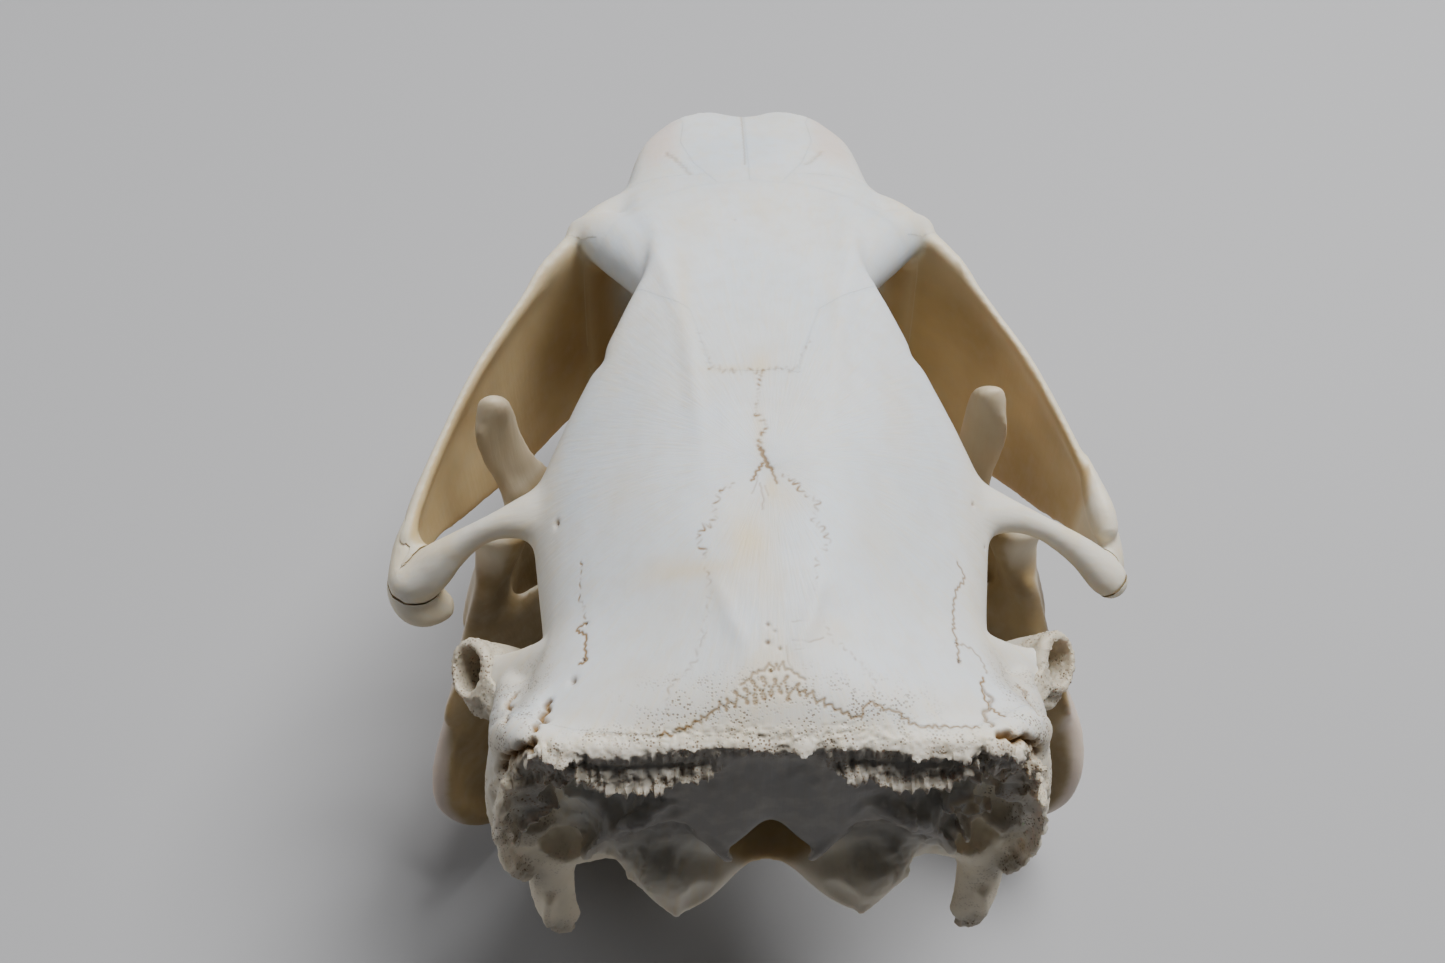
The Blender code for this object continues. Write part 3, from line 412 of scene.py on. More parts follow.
def push(thing, amount):
    """Move each point of a bone along its normal."""
    moved = positions(thing) + normals(thing) * amount[:, None]
    thing.data.vertices.foreach_set("co", moved.astype(np.float32).ravel())
    thing.data.update()


def refine(thing, near):
    """Split the faces of a bone in four wherever near, a test of points, says so."""
    wanted = near(positions(thing))
    bm = bmesh.new()
    bm.from_mesh(thing.data)
    edges = [edge for edge in bm.edges if wanted[edge.verts[0].index] and wanted[edge.verts[1].index]]
    bmesh.ops.subdivide_edges(bm, edges=edges, cuts=1, use_grid_fill=True)
    bm.to_mesh(thing.data)
    bm.free()
    thing.data.update()


def relief(points, depth, rise):
    """A height for each point, from a function of its place."""
    return np.array([rise(*point) for point in points]) * depth


def grit(points, scale, depth, seed):
    """Rough, knobbly heights at points, for porous bone."""
    def rise(x, y, z):
        place = Vector((x * scale, y * scale, z * scale * 0.6 + seed))
        rough = noise.noise(place) + 0.5 * noise.noise(place * 2.1)
        pocket = noise.voronoi(place * 1.7)[0][0]
        return rough * 0.6 + (pocket - 0.45) * 1.1

    return relief(points, depth, rise)


def curtain(points, depth, seed):
    """Uneven grooves that run down and back, as under the crest's lips."""
    def rise(x, y, z):
        place = Vector((x * 1.25, y * 0.30, z * 0.30 + seed))
        return noise.noise(place) + 0.7 * noise.noise(place * 2.3)

    return relief(points, depth, rise)


def scars(points, depth, seed):
    """Sharp folds and creases, where the neck's muscles were fixed."""
    def rise(x, y, z):
        place = Vector((x * 0.30, y * 0.24, z * 0.20 + seed))
        bend = noise.noise(place * 1.5)
        fold = 1 - 3.2 * abs(noise.noise(place + Vector((0.7 * bend, 0.4 * bend, 0.0))))
        crease = 1 - 3.0 * abs(noise.noise(place * 3.3))
        return fold + 0.35 * crease - 0.6

    return relief(points, depth, rise)


def ease(value, low, high):
    """0 below low, 1 above high, and a smooth rise between."""
    t = np.clip((value - low) / (high - low), 0, 1)
    return t * t * (3 - 2 * t)


def fall(value, low, high):
    """1 below low, 0 above high, and a smooth fall between."""
    return 1 - ease(value, low, high)


def most(*values):
    """The greatest of several values at each point."""
    return np.maximum.reduce(values)


def paint(thing, **masks):
    """Keep values from 0 to 1 for each point of a piece, for its material to read."""
    for name, values in masks.items():
        layer = thing.data.attributes.get(name) or thing.data.attributes.new(name, "FLOAT", "POINT")
        full = np.broadcast_to(np.clip(values, 0, 1), len(thing.data.vertices))
        layer.data.foreach_set("value", full.astype(np.float32))


def finished(thing, name, material, slot, *nodes):
    """Name a bone, set it in place in metres, give it its material, and put it in the frame."""
    thing.name = name
    thing.data.name = name
    thing.data.transform(PLACE)
    thing.data.materials.clear()
    thing.data.materials.append(material)
    thing.data.shade_smooth()
    thing.data.set_sharp_from_angle(angle=SHARP_ANGLE)
    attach(thing, "root")
    if nodes:
        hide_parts(*nodes)
    return thing


# Materials: the tones mixed over those in SkullColours, and the sizes of their noises per metre

BLUE = (0.60, 0.665, 0.725)
GREY = (0.46, 0.48, 0.50)
STAIN = (0.72, 0.565, 0.31)
PINK = (0.68, 0.55, 0.48)
# painted shade: the dark tone laid where the skull lies in shadow, on the nape, under the crest and on the
# ears
PAINTED_SHADE_TONE = (0.135, 0.12, 0.105)
FLECK = (0.56, 0.49, 0.38)
# painted shade inside the pores, which are only dents in the bump
PIT_SHADE = (0.20, 0.135, 0.08)
# the dirt tone of the sutures and clefts, also laid as painted shade on the crest's downward faces
DIRT_AND_SHADE = (0.26, 0.16, 0.065)
ENAMEL_LINE = (0.16, 0.07, 0.02)
GREY_NOISE = 26.0
BLUE_NOISE = 38.0
BROAD_NOISE = 55.0
FINE_NOISE = 420.0
STREAK_NOISE = 900.0
PORE_CELLS = 2600.0
FAN_NOISE = 42.0
FAN_STRETCH = 6.0
ENAMEL_MOTTLE = 240.0
ENAMEL_LINES = 1500.0


def node_group(name, inputs, outputs):
    """A shader node group with named sockets, and its input and output nodes."""
    tree = bpy.data.node_groups.new(name, "ShaderNodeTree")
    for label, kind, default in inputs:
        socket = tree.interface.new_socket(label, in_out="INPUT", socket_type=kind)
        if default is not None:
            socket.default_value = default
    for label, kind in outputs:
        tree.interface.new_socket(label, in_out="OUTPUT", socket_type=kind)
    return tree, tree.nodes.new("NodeGroupInput"), tree.nodes.new("NodeGroupOutput")


def add_node(tree, kind, **values):
    """A shader node with its settings made, and its inputs set or linked by name."""
    node = tree.nodes.new(kind)
    links = values.pop("links", {})
    inputs = values.pop("inputs", {})
    for label, value in values.items():
        setattr(node, label, value)
    for label, value in inputs.items():
        node.inputs[label].default_value = value
    for label, source in links.items():
        tree.links.new(source, node.inputs[label])
    return node


def noise_at(tree, place, scale, detail=3.0, stretch=None):
    """A noise value over Object coordinates, which may be stretched along an axis."""
    if stretch:
        mapping = add_node(tree, "ShaderNodeMapping", inputs={"Scale": stretch}, links={"Vector": place})
        place = mapping.outputs["Vector"]
    inputs = {"Scale": scale, "Detail": detail}
    return add_node(tree, "ShaderNodeTexNoise", inputs=inputs, links={"Vector": place}).outputs["Fac"]


def span(tree, value, low, high, out_low=0.0, out_high=1.0):
    """A value's range turned to another."""
    ranges = {"From Min": low, "From Max": high, "To Min": out_low, "To Max": out_high}
    node = add_node(tree, "ShaderNodeMapRange", inputs=ranges, links={"Value": value})
    return node.outputs["Result"]


def mix(tree, factor, a, b):
    """Two colours mixed by a factor. Each colour is a socket or a value."""
    node = add_node(tree, "ShaderNodeMix", data_type="RGBA")
    for socket, value in ((node.inputs[0], factor), (node.inputs[6], a), (node.inputs[7], b)):
        if isinstance(value, bpy.types.NodeSocket):
            tree.links.new(value, socket)
        elif isinstance(value, (int, float)):
            socket.default_value = value
        else:
            socket.default_value = (*value, 1.0)
    return node.outputs[2]


def sums(tree, operation, a, b):
    """Two numbers put together. Each is a socket or a value."""
    node = add_node(tree, "ShaderNodeMath", operation=operation)
    for socket, value in zip(node.inputs, (a, b)):
        if isinstance(value, bpy.types.NodeSocket):
            tree.links.new(value, socket)
        else:
            socket.default_value = value
    return node.outputs[0]


def fanned(tree, place):
    """Fine lines that fan out from the meeting of the sutures on the vault."""
    centre = PLACE @ FAN_CENTRE
    moved = add_node(tree, "ShaderNodeVectorMath", operation="SUBTRACT", links={0: place})
    moved.inputs[1].default_value = centre
    parts = add_node(tree, "ShaderNodeSeparateXYZ", links={"Vector": moved.outputs["Vector"]})
    turn = sums(tree, "ARCTAN2", parts.outputs["X"], parts.outputs["Y"])
    length = add_node(tree, "ShaderNodeVectorMath", operation="LENGTH", links={0: moved.outputs["Vector"]})
    reach = sums(tree, "MULTIPLY", length.outputs["Value"], FAN_STRETCH)
    apart = add_node(tree, "ShaderNodeCombineXYZ", links={"X": turn, "Y": reach})
    return noise_at(tree, apart.outputs["Vector"], FAN_NOISE, 3.0)


def bone_tone_group(name):
    """Bone's colour: a cool and a warm tone mottled together, stained, with pores and dirt, and with
    painted shade where the skull lies in shadow.
    """
    inputs = [(label, "NodeSocketColor", None) for label in ("Cool", "Warm", "Amber", "Deep")]
    outputs = [("Color", "NodeSocketColor"), ("Height", "NodeSocketFloat")]
    tree, given, result = node_group(name, inputs, outputs)
    place = add_node(tree, "ShaderNodeTexCoord").outputs["Object"]
    read = {}
    for mask in ("warm", "amber", "dirt", "pores", "pink", "dusky", "stain"):
        read[mask] = add_node(tree, "ShaderNodeAttribute", attribute_name=mask).outputs["Fac"]

    def plus(a, b):
        return sums(tree, "ADD", a, b)

    def times(a, b):
        return sums(tree, "MULTIPLY", a, b)

    broad = noise_at(tree, place, BROAD_NOISE, 4.0)
    fine = noise_at(tree, place, FINE_NOISE, 5.0)
    streaks = noise_at(tree, place, STREAK_NOISE, 3.0, (1.0, 0.12, 0.35))
    rays = fanned(tree, place)
    warmth = plus(read["warm"], span(tree, broad, 0.45, 0.75, 0.0, 0.36))
    warmth = plus(warmth, span(tree, rays, 0.5, 0.75, 0.0, 0.34))
    blue = span(tree, noise_at(tree, place, BLUE_NOISE, 3.0), 0.48, 0.66, 0.0, 0.75)
    cool = mix(tree, blue, given.outputs["Cool"], BLUE)
    colour = mix(tree, warmth, cool, given.outputs["Warm"])
    grey = span(tree, noise_at(tree, place, GREY_NOISE, 5.0), 0.42, 0.72, 0.0, 0.20)
    colour = mix(tree, grey, colour, GREY)
    for mask, tone in (("stain", STAIN), ("pink", PINK), ("dusky", PAINTED_SHADE_TONE)):
        colour = mix(tree, read[mask], colour, tone)
    # amber: the yellowed tone of thin bone, with painted shade and painted glow of light through it, and
    # painted shade inside holes
    shade = mix(tree, span(tree, broad, 0.35, 0.65), given.outputs["Amber"], given.outputs["Deep"])
    colour = mix(tree, read["amber"], colour, shade)
    colour = mix(tree, span(tree, fine, 0.45, 0.8, 0.0, 0.24), colour, FLECK)
    # Pores: small dents in the bump, with painted shade inside them
    cells = add_node(tree, "ShaderNodeTexVoronoi", inputs={"Scale": PORE_CELLS}, links={"Vector": place})
    hole = span(tree, cells.outputs["Distance"], 0.22, 0.40, 1.0, 0.0)
    hole = times(times(hole, span(tree, fine, 0.42, 0.58)), read["pores"])
    colour = mix(tree, hole, colour, PIT_SHADE)
    # dirt in the sutures and clefts, and painted shade under the crest's lips
    colour = mix(tree, read["dirt"], colour, DIRT_AND_SHADE)
    grain = plus(plus(times(fine, 0.35), times(streaks, 0.35)), times(rays, 0.9))
    height = sums(tree, "SUBTRACT", grain, times(hole, 1.6))
    tree.links.new(colour, result.inputs["Color"])
    tree.links.new(height, result.inputs["Height"])
    return tree


def principled(name):
    """A new material, its node tree and its main shader."""
    material = bpy.data.materials.new(name)
    material.use_nodes = True
    tree = material.node_tree
    return material, tree, tree.nodes["Principled BSDF"]


def dressed(shader, **values):
    """Set a shader's plain inputs, by their names with underscores for spaces."""
    for label, value in values.items():
        shader.inputs[label.replace("_", " ")].default_value = value


def bone_material(name, tones, hues):
    """A bone's material: its tones, a fine grain, and a little light that sinks in."""
    material, tree, shader = principled(name)
    tone = add_node(tree, "ShaderNodeGroup", node_tree=tones)
    for label, colour in zip(("Cool", "Warm", "Amber", "Deep"), hues):
        tone.inputs[label].default_value = (*colour, 1.0)
    tree.links.new(tone.outputs["Color"], shader.inputs["Base Color"])
    rough = {"Strength": 0.5, "Distance": 0.00014}
    bump = add_node(tree, "ShaderNodeBump", inputs=rough, links={"Height": tone.outputs["Height"]})
    tree.links.new(bump.outputs["Normal"], shader.inputs["Normal"])
    dressed(shader, Roughness=0.52, Specular_IOR_Level=0.42, Subsurface_Weight=0.22)
    dressed(shader, Subsurface_Radius=(1.0, 0.62, 0.36), Subsurface_Scale=0.0022)
    return material


def enamel_material(name, orange, pale):
    """A front tooth: orange enamel in front, pale dentine behind, with fine lengthwise lines."""
    material, tree, shader = principled(name)
    place = add_node(tree, "ShaderNodeTexCoord").outputs["Object"]
    front = add_node(tree, "ShaderNodeAttribute", attribute_name="enamel").outputs["Fac"]
    mottle = noise_at(tree, place, ENAMEL_MOTTLE, 4.0)
    lines = noise_at(tree, place, ENAMEL_LINES, 2.0, (1.0, 0.06, 0.06))
    deep = mix(tree, span(tree, mottle, 0.35, 0.7), orange, tuple(0.62 * value for value in orange))
    deep = mix(tree, span(tree, lines, 0.5, 0.8, 0.0, 0.35), deep, ENAMEL_LINE)
    tree.links.new(mix(tree, front, pale, deep), shader.inputs["Base Color"])
    rough = {"Strength": 0.25, "Distance": 0.0001}
    bump = add_node(tree, "ShaderNodeBump", inputs=rough, links={"Height": lines})
    tree.links.new(bump.outputs["Normal"], shader.inputs["Normal"])
    tree.links.new(span(tree, mottle, 0.3, 0.7, 0.22, 0.36), shader.inputs["Roughness"])
    dressed(shader, Subsurface_Weight=0.08, Subsurface_Radius=(1.0, 0.5, 0.2), Subsurface_Scale=0.001)
    return material


def made(name, make, *values):
    """A material or node group by name, built when it is first asked for."""
    for shelf in (bpy.data.materials, bpy.data.node_groups):
        if name in shelf:
            return shelf[name]
    return make(name, *values)


def skull_bone():
    """The bone of the upper skull and the ear capsules."""
    tones = made("Bone tone", bone_tone_group)
    colours = bpy.context.scene.skull_colours
    hues = (colours.cool, colours.warm, colours.amber, colours.deep)
    return made("skull_bone", bone_material, tones, hues)


def jaw_bone():
    """The bone of the lower jaw, which is warmer all over, with its deepest amber halved as painted shade.
    """
    tones = made("Bone tone", bone_tone_group)
    colours = bpy.context.scene.skull_colours
    warmer = tuple(0.86 * value for value in colours.warm)
    deep_painted_shade = tuple(0.5 * value for value in colours.deep)
    return made("lower_jaw_bone", bone_material, tones, (colours.warm, warmer, colours.deep, deep_painted_shade))


# The upper skull


def lambda_swing(share):
    """How widely the suture at the back swings, most in its middle."""
    return 0.16 + 0.84 * math.exp(-(((share - 0.53) / 0.21) ** 2))


LAMBDA = [
    (-12.2, 1, 39.4), (-9.7, 1.5, 39.8), (-7.6, 2.5, 40.3), (-5.8, 3.5, 40.9), (-4.1, 4, 41.3),
    (-2.2, 4.8, 41.7), (0, 5.3, 41.9), (2, 5, 41.8), (3.6, 4.5, 41.4), (5.5, 3.6, 41),
    (7.2, 2.7, 40.6), (9.2, 2.3, 40.2),
]
MAZE = [
    # the lambda's main line and the loops beside it: points, wander, period, dirt, seed
    (LAMBDA, 1.50, 1.05, 1, 0),
    ([(-3.6, 5.6, 41.6), (-1.8, 6.9, 42), (0, 7.5, 42.2), (1.8, 7, 42), (3.2, 6, 41.8)],
     0.60, 0.9, 0.8, 4.4),
]
SUTURES = [
    # points, reach, depth, dirt, wander, period
    ([(-7.7, 54.6, 43), (-6.8, 51, 43.7), (-6.2, 48.4, 43.9)], 0.12, 0.02, -0.20, 0.35, 1.3),
    ([(6.2, 53.4, 44), (4.9, 49.6, 44.4), (4.5, 47.2, 44.5)], 0.12, 0.02, -0.20, 0.35, 1.3),
    ([(-6.2, 48.4, 44), (-4.7, 47.8, 44.4), (-0.6, 47.6, 44.6), (2.6, 48, 44.5), (4.5, 47.2, 44.5)],
     0.16, 0.03, -0.36, 0.60, 0.75),
    ([(-0.2, 47.2, 44.5), (-0.6, 43.4, 44.5), (-1, 40.8, 44.5)], 0.16, 0.06, -0.45, 0.18, 0.8),
    ([(-1, 40.8, 44.5), (0.3, 38.8, 44.5), (-0.5, 37.3, 44.5), (-0.7, 35.8, 44.5)],
     0.18, 0.14, -0.75, 0.25, 0.9),
    ([(-0.6, 35.6, 44.5), (-0.2, 34.2, 44.4), (0.3, 32.9, 44.4), (0.7, 32.2, 44.4)],
     0.19, 0.38, 0.95, 0.12, 0.8),
    ([(-0.3, 33.4, 44.4), (-1.1, 32.1, 44.4), (-1.7, 30.8, 44.4)], 0.13, 0.16, 0.65, 0.14, 0.7),
    ([(0.6, 32.4, 44.4), (0.9, 31.4, 44.4), (1.1, 30.4, 44.4)], 0.13, 0.14, 0.55, 0.12, 0.7),
    ([(-3.5, 30.5, 44.3), (-4.6, 30, 44.3), (-5.5, 29.4, 44.3), (-5.8, 28, 44.2), (-6.2, 27, 44.1),
      (-5.9, 25.8, 44), (-7.9, 24.2, 43.5), (-7.7, 23, 43.5), (-7.2, 21.8, 43.5), (-7.3, 20.6, 43.3)],
     0.11, 0.10, -0.62, 0.42, 0.95),
    ([(2, 31.8, 44.4), (3.3, 30.6, 44.4), (4.1, 29.2, 44.4), (5.5, 28, 44.2), (5.4, 26.7, 44.1),
      (5.3, 25, 44.1), (6, 24.4, 43.9), (6.6, 22.7, 43.7), (5.7, 21.3, 43.7)],
     0.11, 0.10, -0.60, 0.42, 0.95),
    ([(5.4, 20.6, 43.8), (4.9, 16.1, 43.2), (5.4, 13.4, 42.7), (6.6, 10.8, 42), (8, 9.8, 41.6),
      (9.5, 8.1, 41.2), (10.6, 6.6, 40.9), (10.7, 5.3, 40.7), (9.9, 4, 40.5)],
     0.10, 0.06, -0.34, 0.30, 1.3),
    ([(-7.2, 20, 43.3), (-6.8, 16, 42.8), (-7.9, 10.6, 41.7), (-9, 8, 41.3), (-10.9, 6.4, 40.8),
      (-11.5, 4.2, 40.3), (-11, 3, 39.9)], 0.10, 0.05, -0.26, 0.30, 1.3),
    ([(-21.7, 26.3, 35.3), (-21.8, 21.5, 34.8), (-21.2, 19.8, 35.3), (-20.9, 17.2, 35.8)],
     0.11, 0.10, -0.50, 0.25, 1),
    ([(-20.9, 17.2, 35.8), (-21.8, 16.6, 35.1), (-20.7, 15.3, 36.3), (-20.8, 13.6, 36.7), (-20.5, 11.6, 37),
      (-21.3, 11.3, 36.6)], 0.14, 0.18, 0.70, 0.15, 0.9),
    ([(22.6, 26, 34.2), (23.4, 24.4, 33.2), (22.2, 22, 34.5), (21.4, 19.2, 35.2), (20.9, 15.4, 36.1),
      (21, 13.5, 36.5), (20.8, 11, 37)], 0.13, 0.13, 0.50, 0.20, 1.1),
    ([(21.4, 13.6, 36.3), (22.7, 13.4, 35.4), (23.9, 12.2, 35), (24.1, 10.3, 35.3)],
     0.12, 0.08, 0.35, 0.18, 1),
    ([(23.6, 9.4, 35.8), (23.1, 8.2, 36.3), (23.3, 6.2, 36.6), (24, 4.8, 36.5), (25, 3.2, 36.6)],
     0.13, 0.16, 0.65, 0.15, 1),
    ([(9.2, 2.6, 40.2), (9.9, 3.9, 40.6), (11.5, 3.4, 40.2), (13, 3.2, 39.3), (15, 1.9, 39),
      (19, 1.9, 38.6), (21.8, 1.9, 38.5)], 0.12, 0.10, 0.50, 0.22, 1.1),
    ([(-12.6, 1.2, 39.2), (-16, 1.4, 38.9), (-20, 1.5, 38.6)], 0.12, 0.05, 0.22, 0.15, 1.2),
    ([(2.1, 10.4, 42.7), (3.8, 10.3, 42.5), (5.5, 11, 42.2)], 0.07, 0.05, 0.26, 0.05, 1.5),
    ([(2.1, 12.6, 43), (3.7, 12.7, 42.9)], 0.07, 0.04, 0.18, 0.05, 1.5),
    ([(2.3, 9.3, 42.5), (3.3, 9.5, 42.4)], 0.07, 0.04, 0.18, 0.05, 1.5),
    ([(-7.9, 10.4, 41.7), (-7.7, 11.2, 41.8), (-7.2, 11.9, 42)], 0.08, 0.05, 0.20, 0.05, 1.5),
    ([(1.4, 9.8, 42.6), (1.5, 8.2, 42.4), (2, 7, 42.2)], 0.07, 0.04, 0.18, 0.05, 1.5),
    ([(-0.8, 30.5, 44.4), (-0.5, 28.1, 44.3), (-0.7, 26.8, 44.2)], 0.08, 0.08, 0.28, 0.08, 1.2),
    ([(-0.2, 30.1, 44.3), (0.1, 28.7, 44.3)], 0.07, 0.06, 0.24, 0.06, 1.2),
    ([(-1, 31.6, 44.4), (-1.3, 30.2, 44.4), (-1.8, 29, 44.4)], 0.07, 0.06, 0.26, 0.06, 1.2),
    ([(-0.4, 118.4, 26.4), (-0.4, 112, 28.8), (-0.4, 104, 31.8), (-0.5, 97, 34.4)],
     0.14, 0.06, 0.22, 0.05, 1.4),
    ([(-12.4, 103.4, 31.4), (-10.6, 99.6, 33.2), (-9.4, 96.4, 34.3), (-8.6, 94.1, 35.1)],
     0.34, 0.34, 0.18, 0.15, 1.8),
    ([(11.2, 102.8, 31.8), (9.8, 100, 33), (8.7, 97.7, 34)], 0.34, 0.34, 0.18, 0.15, 1.8),
]
SLOTS = [
    # brown clefts where the braincase meets the mastoid: points, reach, depth, dirt
    ([(-24.4, 7.1, 36), (-24.9, 5.8, 36), (-24.9, 4.4, 36.8), (-25.9, 2.9, 37.9)], 0.34, 0.9, 1.2),
    ([(-25.9, 1, 38.1), (-27.2, 0.8, 36.5), (-28.9, 2.1, 32.4), (-30.1, 2.8, 28.6)], 0.48, 1.3, 1.2),
    ([(24, 1.1, 38.8), (25.7, 0.8, 38), (27.9, 1.3, 35.8), (29.6, 2.7, 30.8)], 0.42, 1.2, 1.2),
    ([(23.2, 8, 36.3), (24, 6.1, 36.2), (22.8, 4.4, 36.5), (23.1, 2.2, 38.4)], 0.22, 0.4, 0.9),
    ([(-29, 12.1, 29.1), (-29.8, 10.4, 29.9), (-29.4, 5.3, 35)], 0.30, 0.6, 1),
    ([(29, 12.1, 29.1), (29.6, 9.4, 30.4), (29.2, 5.3, 35)], 0.26, 0.5, 0.9),
]
PITS = [
    # place, reach, depth, dirt
    ((-20.9, 17.2, 35.8), 0.34, 0.5, 0.8),
    ((-20.8, 11.8, 37), 0.36, 0.6, 0.9),
    ((-21.9, 9.2, 36.6), 0.42, 0.7, 0.8),
    ((21, 13.5, 36.5), 0.42, 0.7, 0.85),
    ((20.8, 11, 37), 0.36, 0.6, 0.85),
    ((26.2, 36, 32.2), 0.30, 0.4, 0.6),
    ((27.5, 31.6, 29.1), 0.26, 0.3, 0.5),
    ((-25.4, 33.4, 33), 0.40, 0.5, 0.7),
    ((-0.5, 12.3, 42.9), 0.20, 0.3, 0.7),
    ((0.2, 11.5, 42.8), 0.16, 0.2, 0.6),
    ((-0.6, 10.2, 42.7), 0.24, 0.4, 0.8),
    ((0.7, 9.5, 42.5), 0.18, 0.3, 0.7),
    ((-0.4, 7, 42.2), 0.22, 0.4, 0.8),
    ((-2.6, 79, 41), 0.24, 0.2, 0.35),
    ((-18.4, 75.6, 31.4), 0.8, 1.2, 0.9),
    ((18.4, 75.6, 31.4), 0.6, 0.8, 0.7),
]
RIDGES = [
    # points, reach, height
    ([(-14.6, 76.5, 39.8), (-11.6, 66, 42.4), (-9.4, 56, 43.8), (-8.3, 46.5, 44.2), (-7.6, 36.2, 44.1),
      (-6.9, 28, 44)], 1.25, 0.40),
    ([(14.6, 76.5, 39.8), (11.9, 66, 42.2), (9.8, 55, 43.7), (8.9, 46.4, 44.1), (8, 38.5, 44.1),
      (7.1, 30, 44.1)], 1.4, 0.28),
    ([(-6.4, 20, 43.4), (-4.4, 13, 42.9), (-3, 9.6, 42.5), (-4.4, 6.4, 41.8)], 1, 0.22),
    ([(6.2, 20, 43.4), (4.2, 13, 42.9), (2.8, 9.6, 42.5), (4.6, 6.4, 41.8)], 1, 0.22),
]
CREST_LIP = [
    (-26.1, 0.2, 37.5), (-24.3, -0.4, 38.2), (-22.3, -1, 38.3), (-20.3, -0.3, 38.8), (-18.4, 0.2, 38.9),
    (-15.1, 0, 38.9), (-12.5, 0, 39), (-9.8, 0.3, 39.2), (-5.9, 0.2, 39.3), (-3.2, 0.3, 39.4),
    (0, -0.2, 39.1), (3.3, -0.1, 39.2), (7.3, 0.2, 39.2), (11.2, -0.1, 39), (15.2, -0.7, 38.7),
    (19.2, -1, 38.5), (22.5, -0.4, 38.6), (24.6, -0.2, 38.1), (26.3, -0.2, 36.4),
]


def ragged(name, points, step, size, overhang, seed):
    """A ragged lip of small knobs of bone, which stand out by an uneven overhang."""
    rows = []
    at, whole = measured(points)
    for s in np.arange(0, whole, step):
        slow = noise.noise(Vector((s * 0.42, seed, 0)))
        quick = noise.noise(Vector((s * 1.4, seed, 5)))
        out = overhang * (0.55 + 1.7 * slow + 0.8 * quick)
        radii = (size * (1 + 0.5 * quick), size * 1.2 + max(out, 0) * 0.6, size * (0.75 + 0.3 * slow))
        rows.append((at(s) + Vector((0, -out, size * (0.5 * quick + 1.1 * slow - 0.6))), radii))
    return knobs(name, rows)


def coral(side, low, high, count, size, seed):
    """A cluster of small knobs, for the porous outer ends of the crest and the tips of the hooks."""
    rows = []
    for i in range(count):
        key = Vector((i * 7.31, seed, 1.7))
        share = [0.5 + 0.9 * noise.noise(key * factor) for factor in (1, 1.63, 2.37)]
        place = Vector([a + (b - a) * min(max(t, 0), 1) for a, b, t in zip(low, high, share)])
        place.x *= side
        radius = size * (0.7 + 0.6 * share[1])
        rows.append((place, (radius, radius * 1.2, radius * 0.9)))
    return knobs("coral", rows)


CREST_ROUGH = [
    # rough lines on each side besides the crest's lip
    [(7, -2, 36.2), (14.2, -3.4, 35.2), (20.6, -2, 35.8)],
    [(21.6, -1.6, 36), (24, -1.2, 33.4), (25.6, -0.6, 31.4)],
    [(26.8, 0.4, 35), (28.6, -0.2, 31.6), (30.2, -0.4, 27.4)],
    [(26.8, -3, -3), (24.8, -3.4, -5)],
    [(29.6, -1.6, 9.6), (29, -1.6, 6.6)],
]
STAINS = [
    # yellow places on the vault: x, y, spread to the side, spread forward, strength
    (-2.4, 22.3, 2, 2.6, 0.55), (-7.8, 19.5, 5.4, 1.2, 0.50), (2.2, 28.5, 1.8, 2.2, 0.35),
    (-23.4, 25.5, 1.6, 3.4, 0.7), (-3, 17, 6, 2, 0.25), (21, 30, 2, 5, 0.30), (-0.4, 8, 3.6, 3, 0.30),
    (0.5, 30, 0.8, 2, 0.5), (-0.6, 38, 0.7, 4, 0.45), (0, 49, 1.4, 2.2, 0.55), (-4, 48, 3.6, 0.7, 0.40),
    (-9.5, 62, 0.9, 9, 0.35), (9.5, 58, 1, 9, 0.22), (-14.5, 8, 5, 1.6, 0.20),
    (-12, 21, 3.6, 1.6, 0.35), (-2, 25, 3, 5, 0.30), (-17, 33, 3, 3, 0.22), (12, 24, 2.6, 4, 0.20),
    (16.5, 44, 2, 8, 0.22), (-19, 56, 2, 9, 0.30), (1, 84, 2, 5, 0.30), (-9, 78, 3, 4, 0.22),
    (6, 12, 3, 2, 0.25),
]


NAPE_GROOVES = [
    # grooves under the crest's lip and under the second lip, on the right: rows of a sweep
    [(1, -2, 36.6, 0.9, 0.5), (5, -2.1, 36.4, 1.1, 0.6), (9.4, -2, 36.9, 1.3, 0.6),
     (14, -2.4, 37, 1.5, 0.65), (18.6, -2.2, 37.1, 1.4, 0.65), (22.6, -1.2, 37, 1.1, 0.6)],
    [(6.4, -2.2, 34.6, 1.2, 0.8), (10.6, -3, 33.6, 1.6, 1.3), (15, -3, 33.2, 1.8, 1.5),
     (19.4, -2.2, 33.4, 1.6, 1.3)],
]
NAPE_SCOOPS = [
    # hollows on the right of the nape: place, radii, turn in degrees
    ((21.6, 0.8, 26.8), (4.4, 5, 3.6), (10, 12, 0)),
    ((25.8, 0.4, 20), (3.1, 4.6, 4.8), (0, -16, 0)),
    ((25, 0.2, 12.8), (2.6, 3.2, 2.4), (0, -20, 0)),
    ((12.4, -1.6, 20.4), (3.8, 2.2, 2.6), (0, 24, 0)),
    ((8.6, -3.6, 28), (3.4, 1.6, 5.6), (8, -10, 0)),
    ((6.2, -5.8, 10.6), (5.4, 2.8, 3.4), (-22, 26, -20)),
    ((15.6, -6.6, 7), (4.6, 3, 2.6), (-24, -30, 24)),
]
SECOND_LIP = [(6.8, -1.5, 36), (10.4, -2.4, 35.7), (14.2, -3, 35.2), (18.2, -2.6, 35.3), (20.8, -1.5, 35.8)]
CORALS = [
    # clusters of knobs on the right: two corners of the space they fill, count, size, seed
    ((21.6, -1.6, 30.6), (26.4, 0.8, 36.4), 14, 0.70, 3),
    ((26.6, -0.8, 27), (30.2, 1.8, 33.6), 13, 0.66, 8),
    ((23.6, -3.2, -5.4), (26.6, -0.6, -1.4), 5, 0.42, 21),
]
UP = (0, 0, 1)
FORWARD = (0, 1, 0)
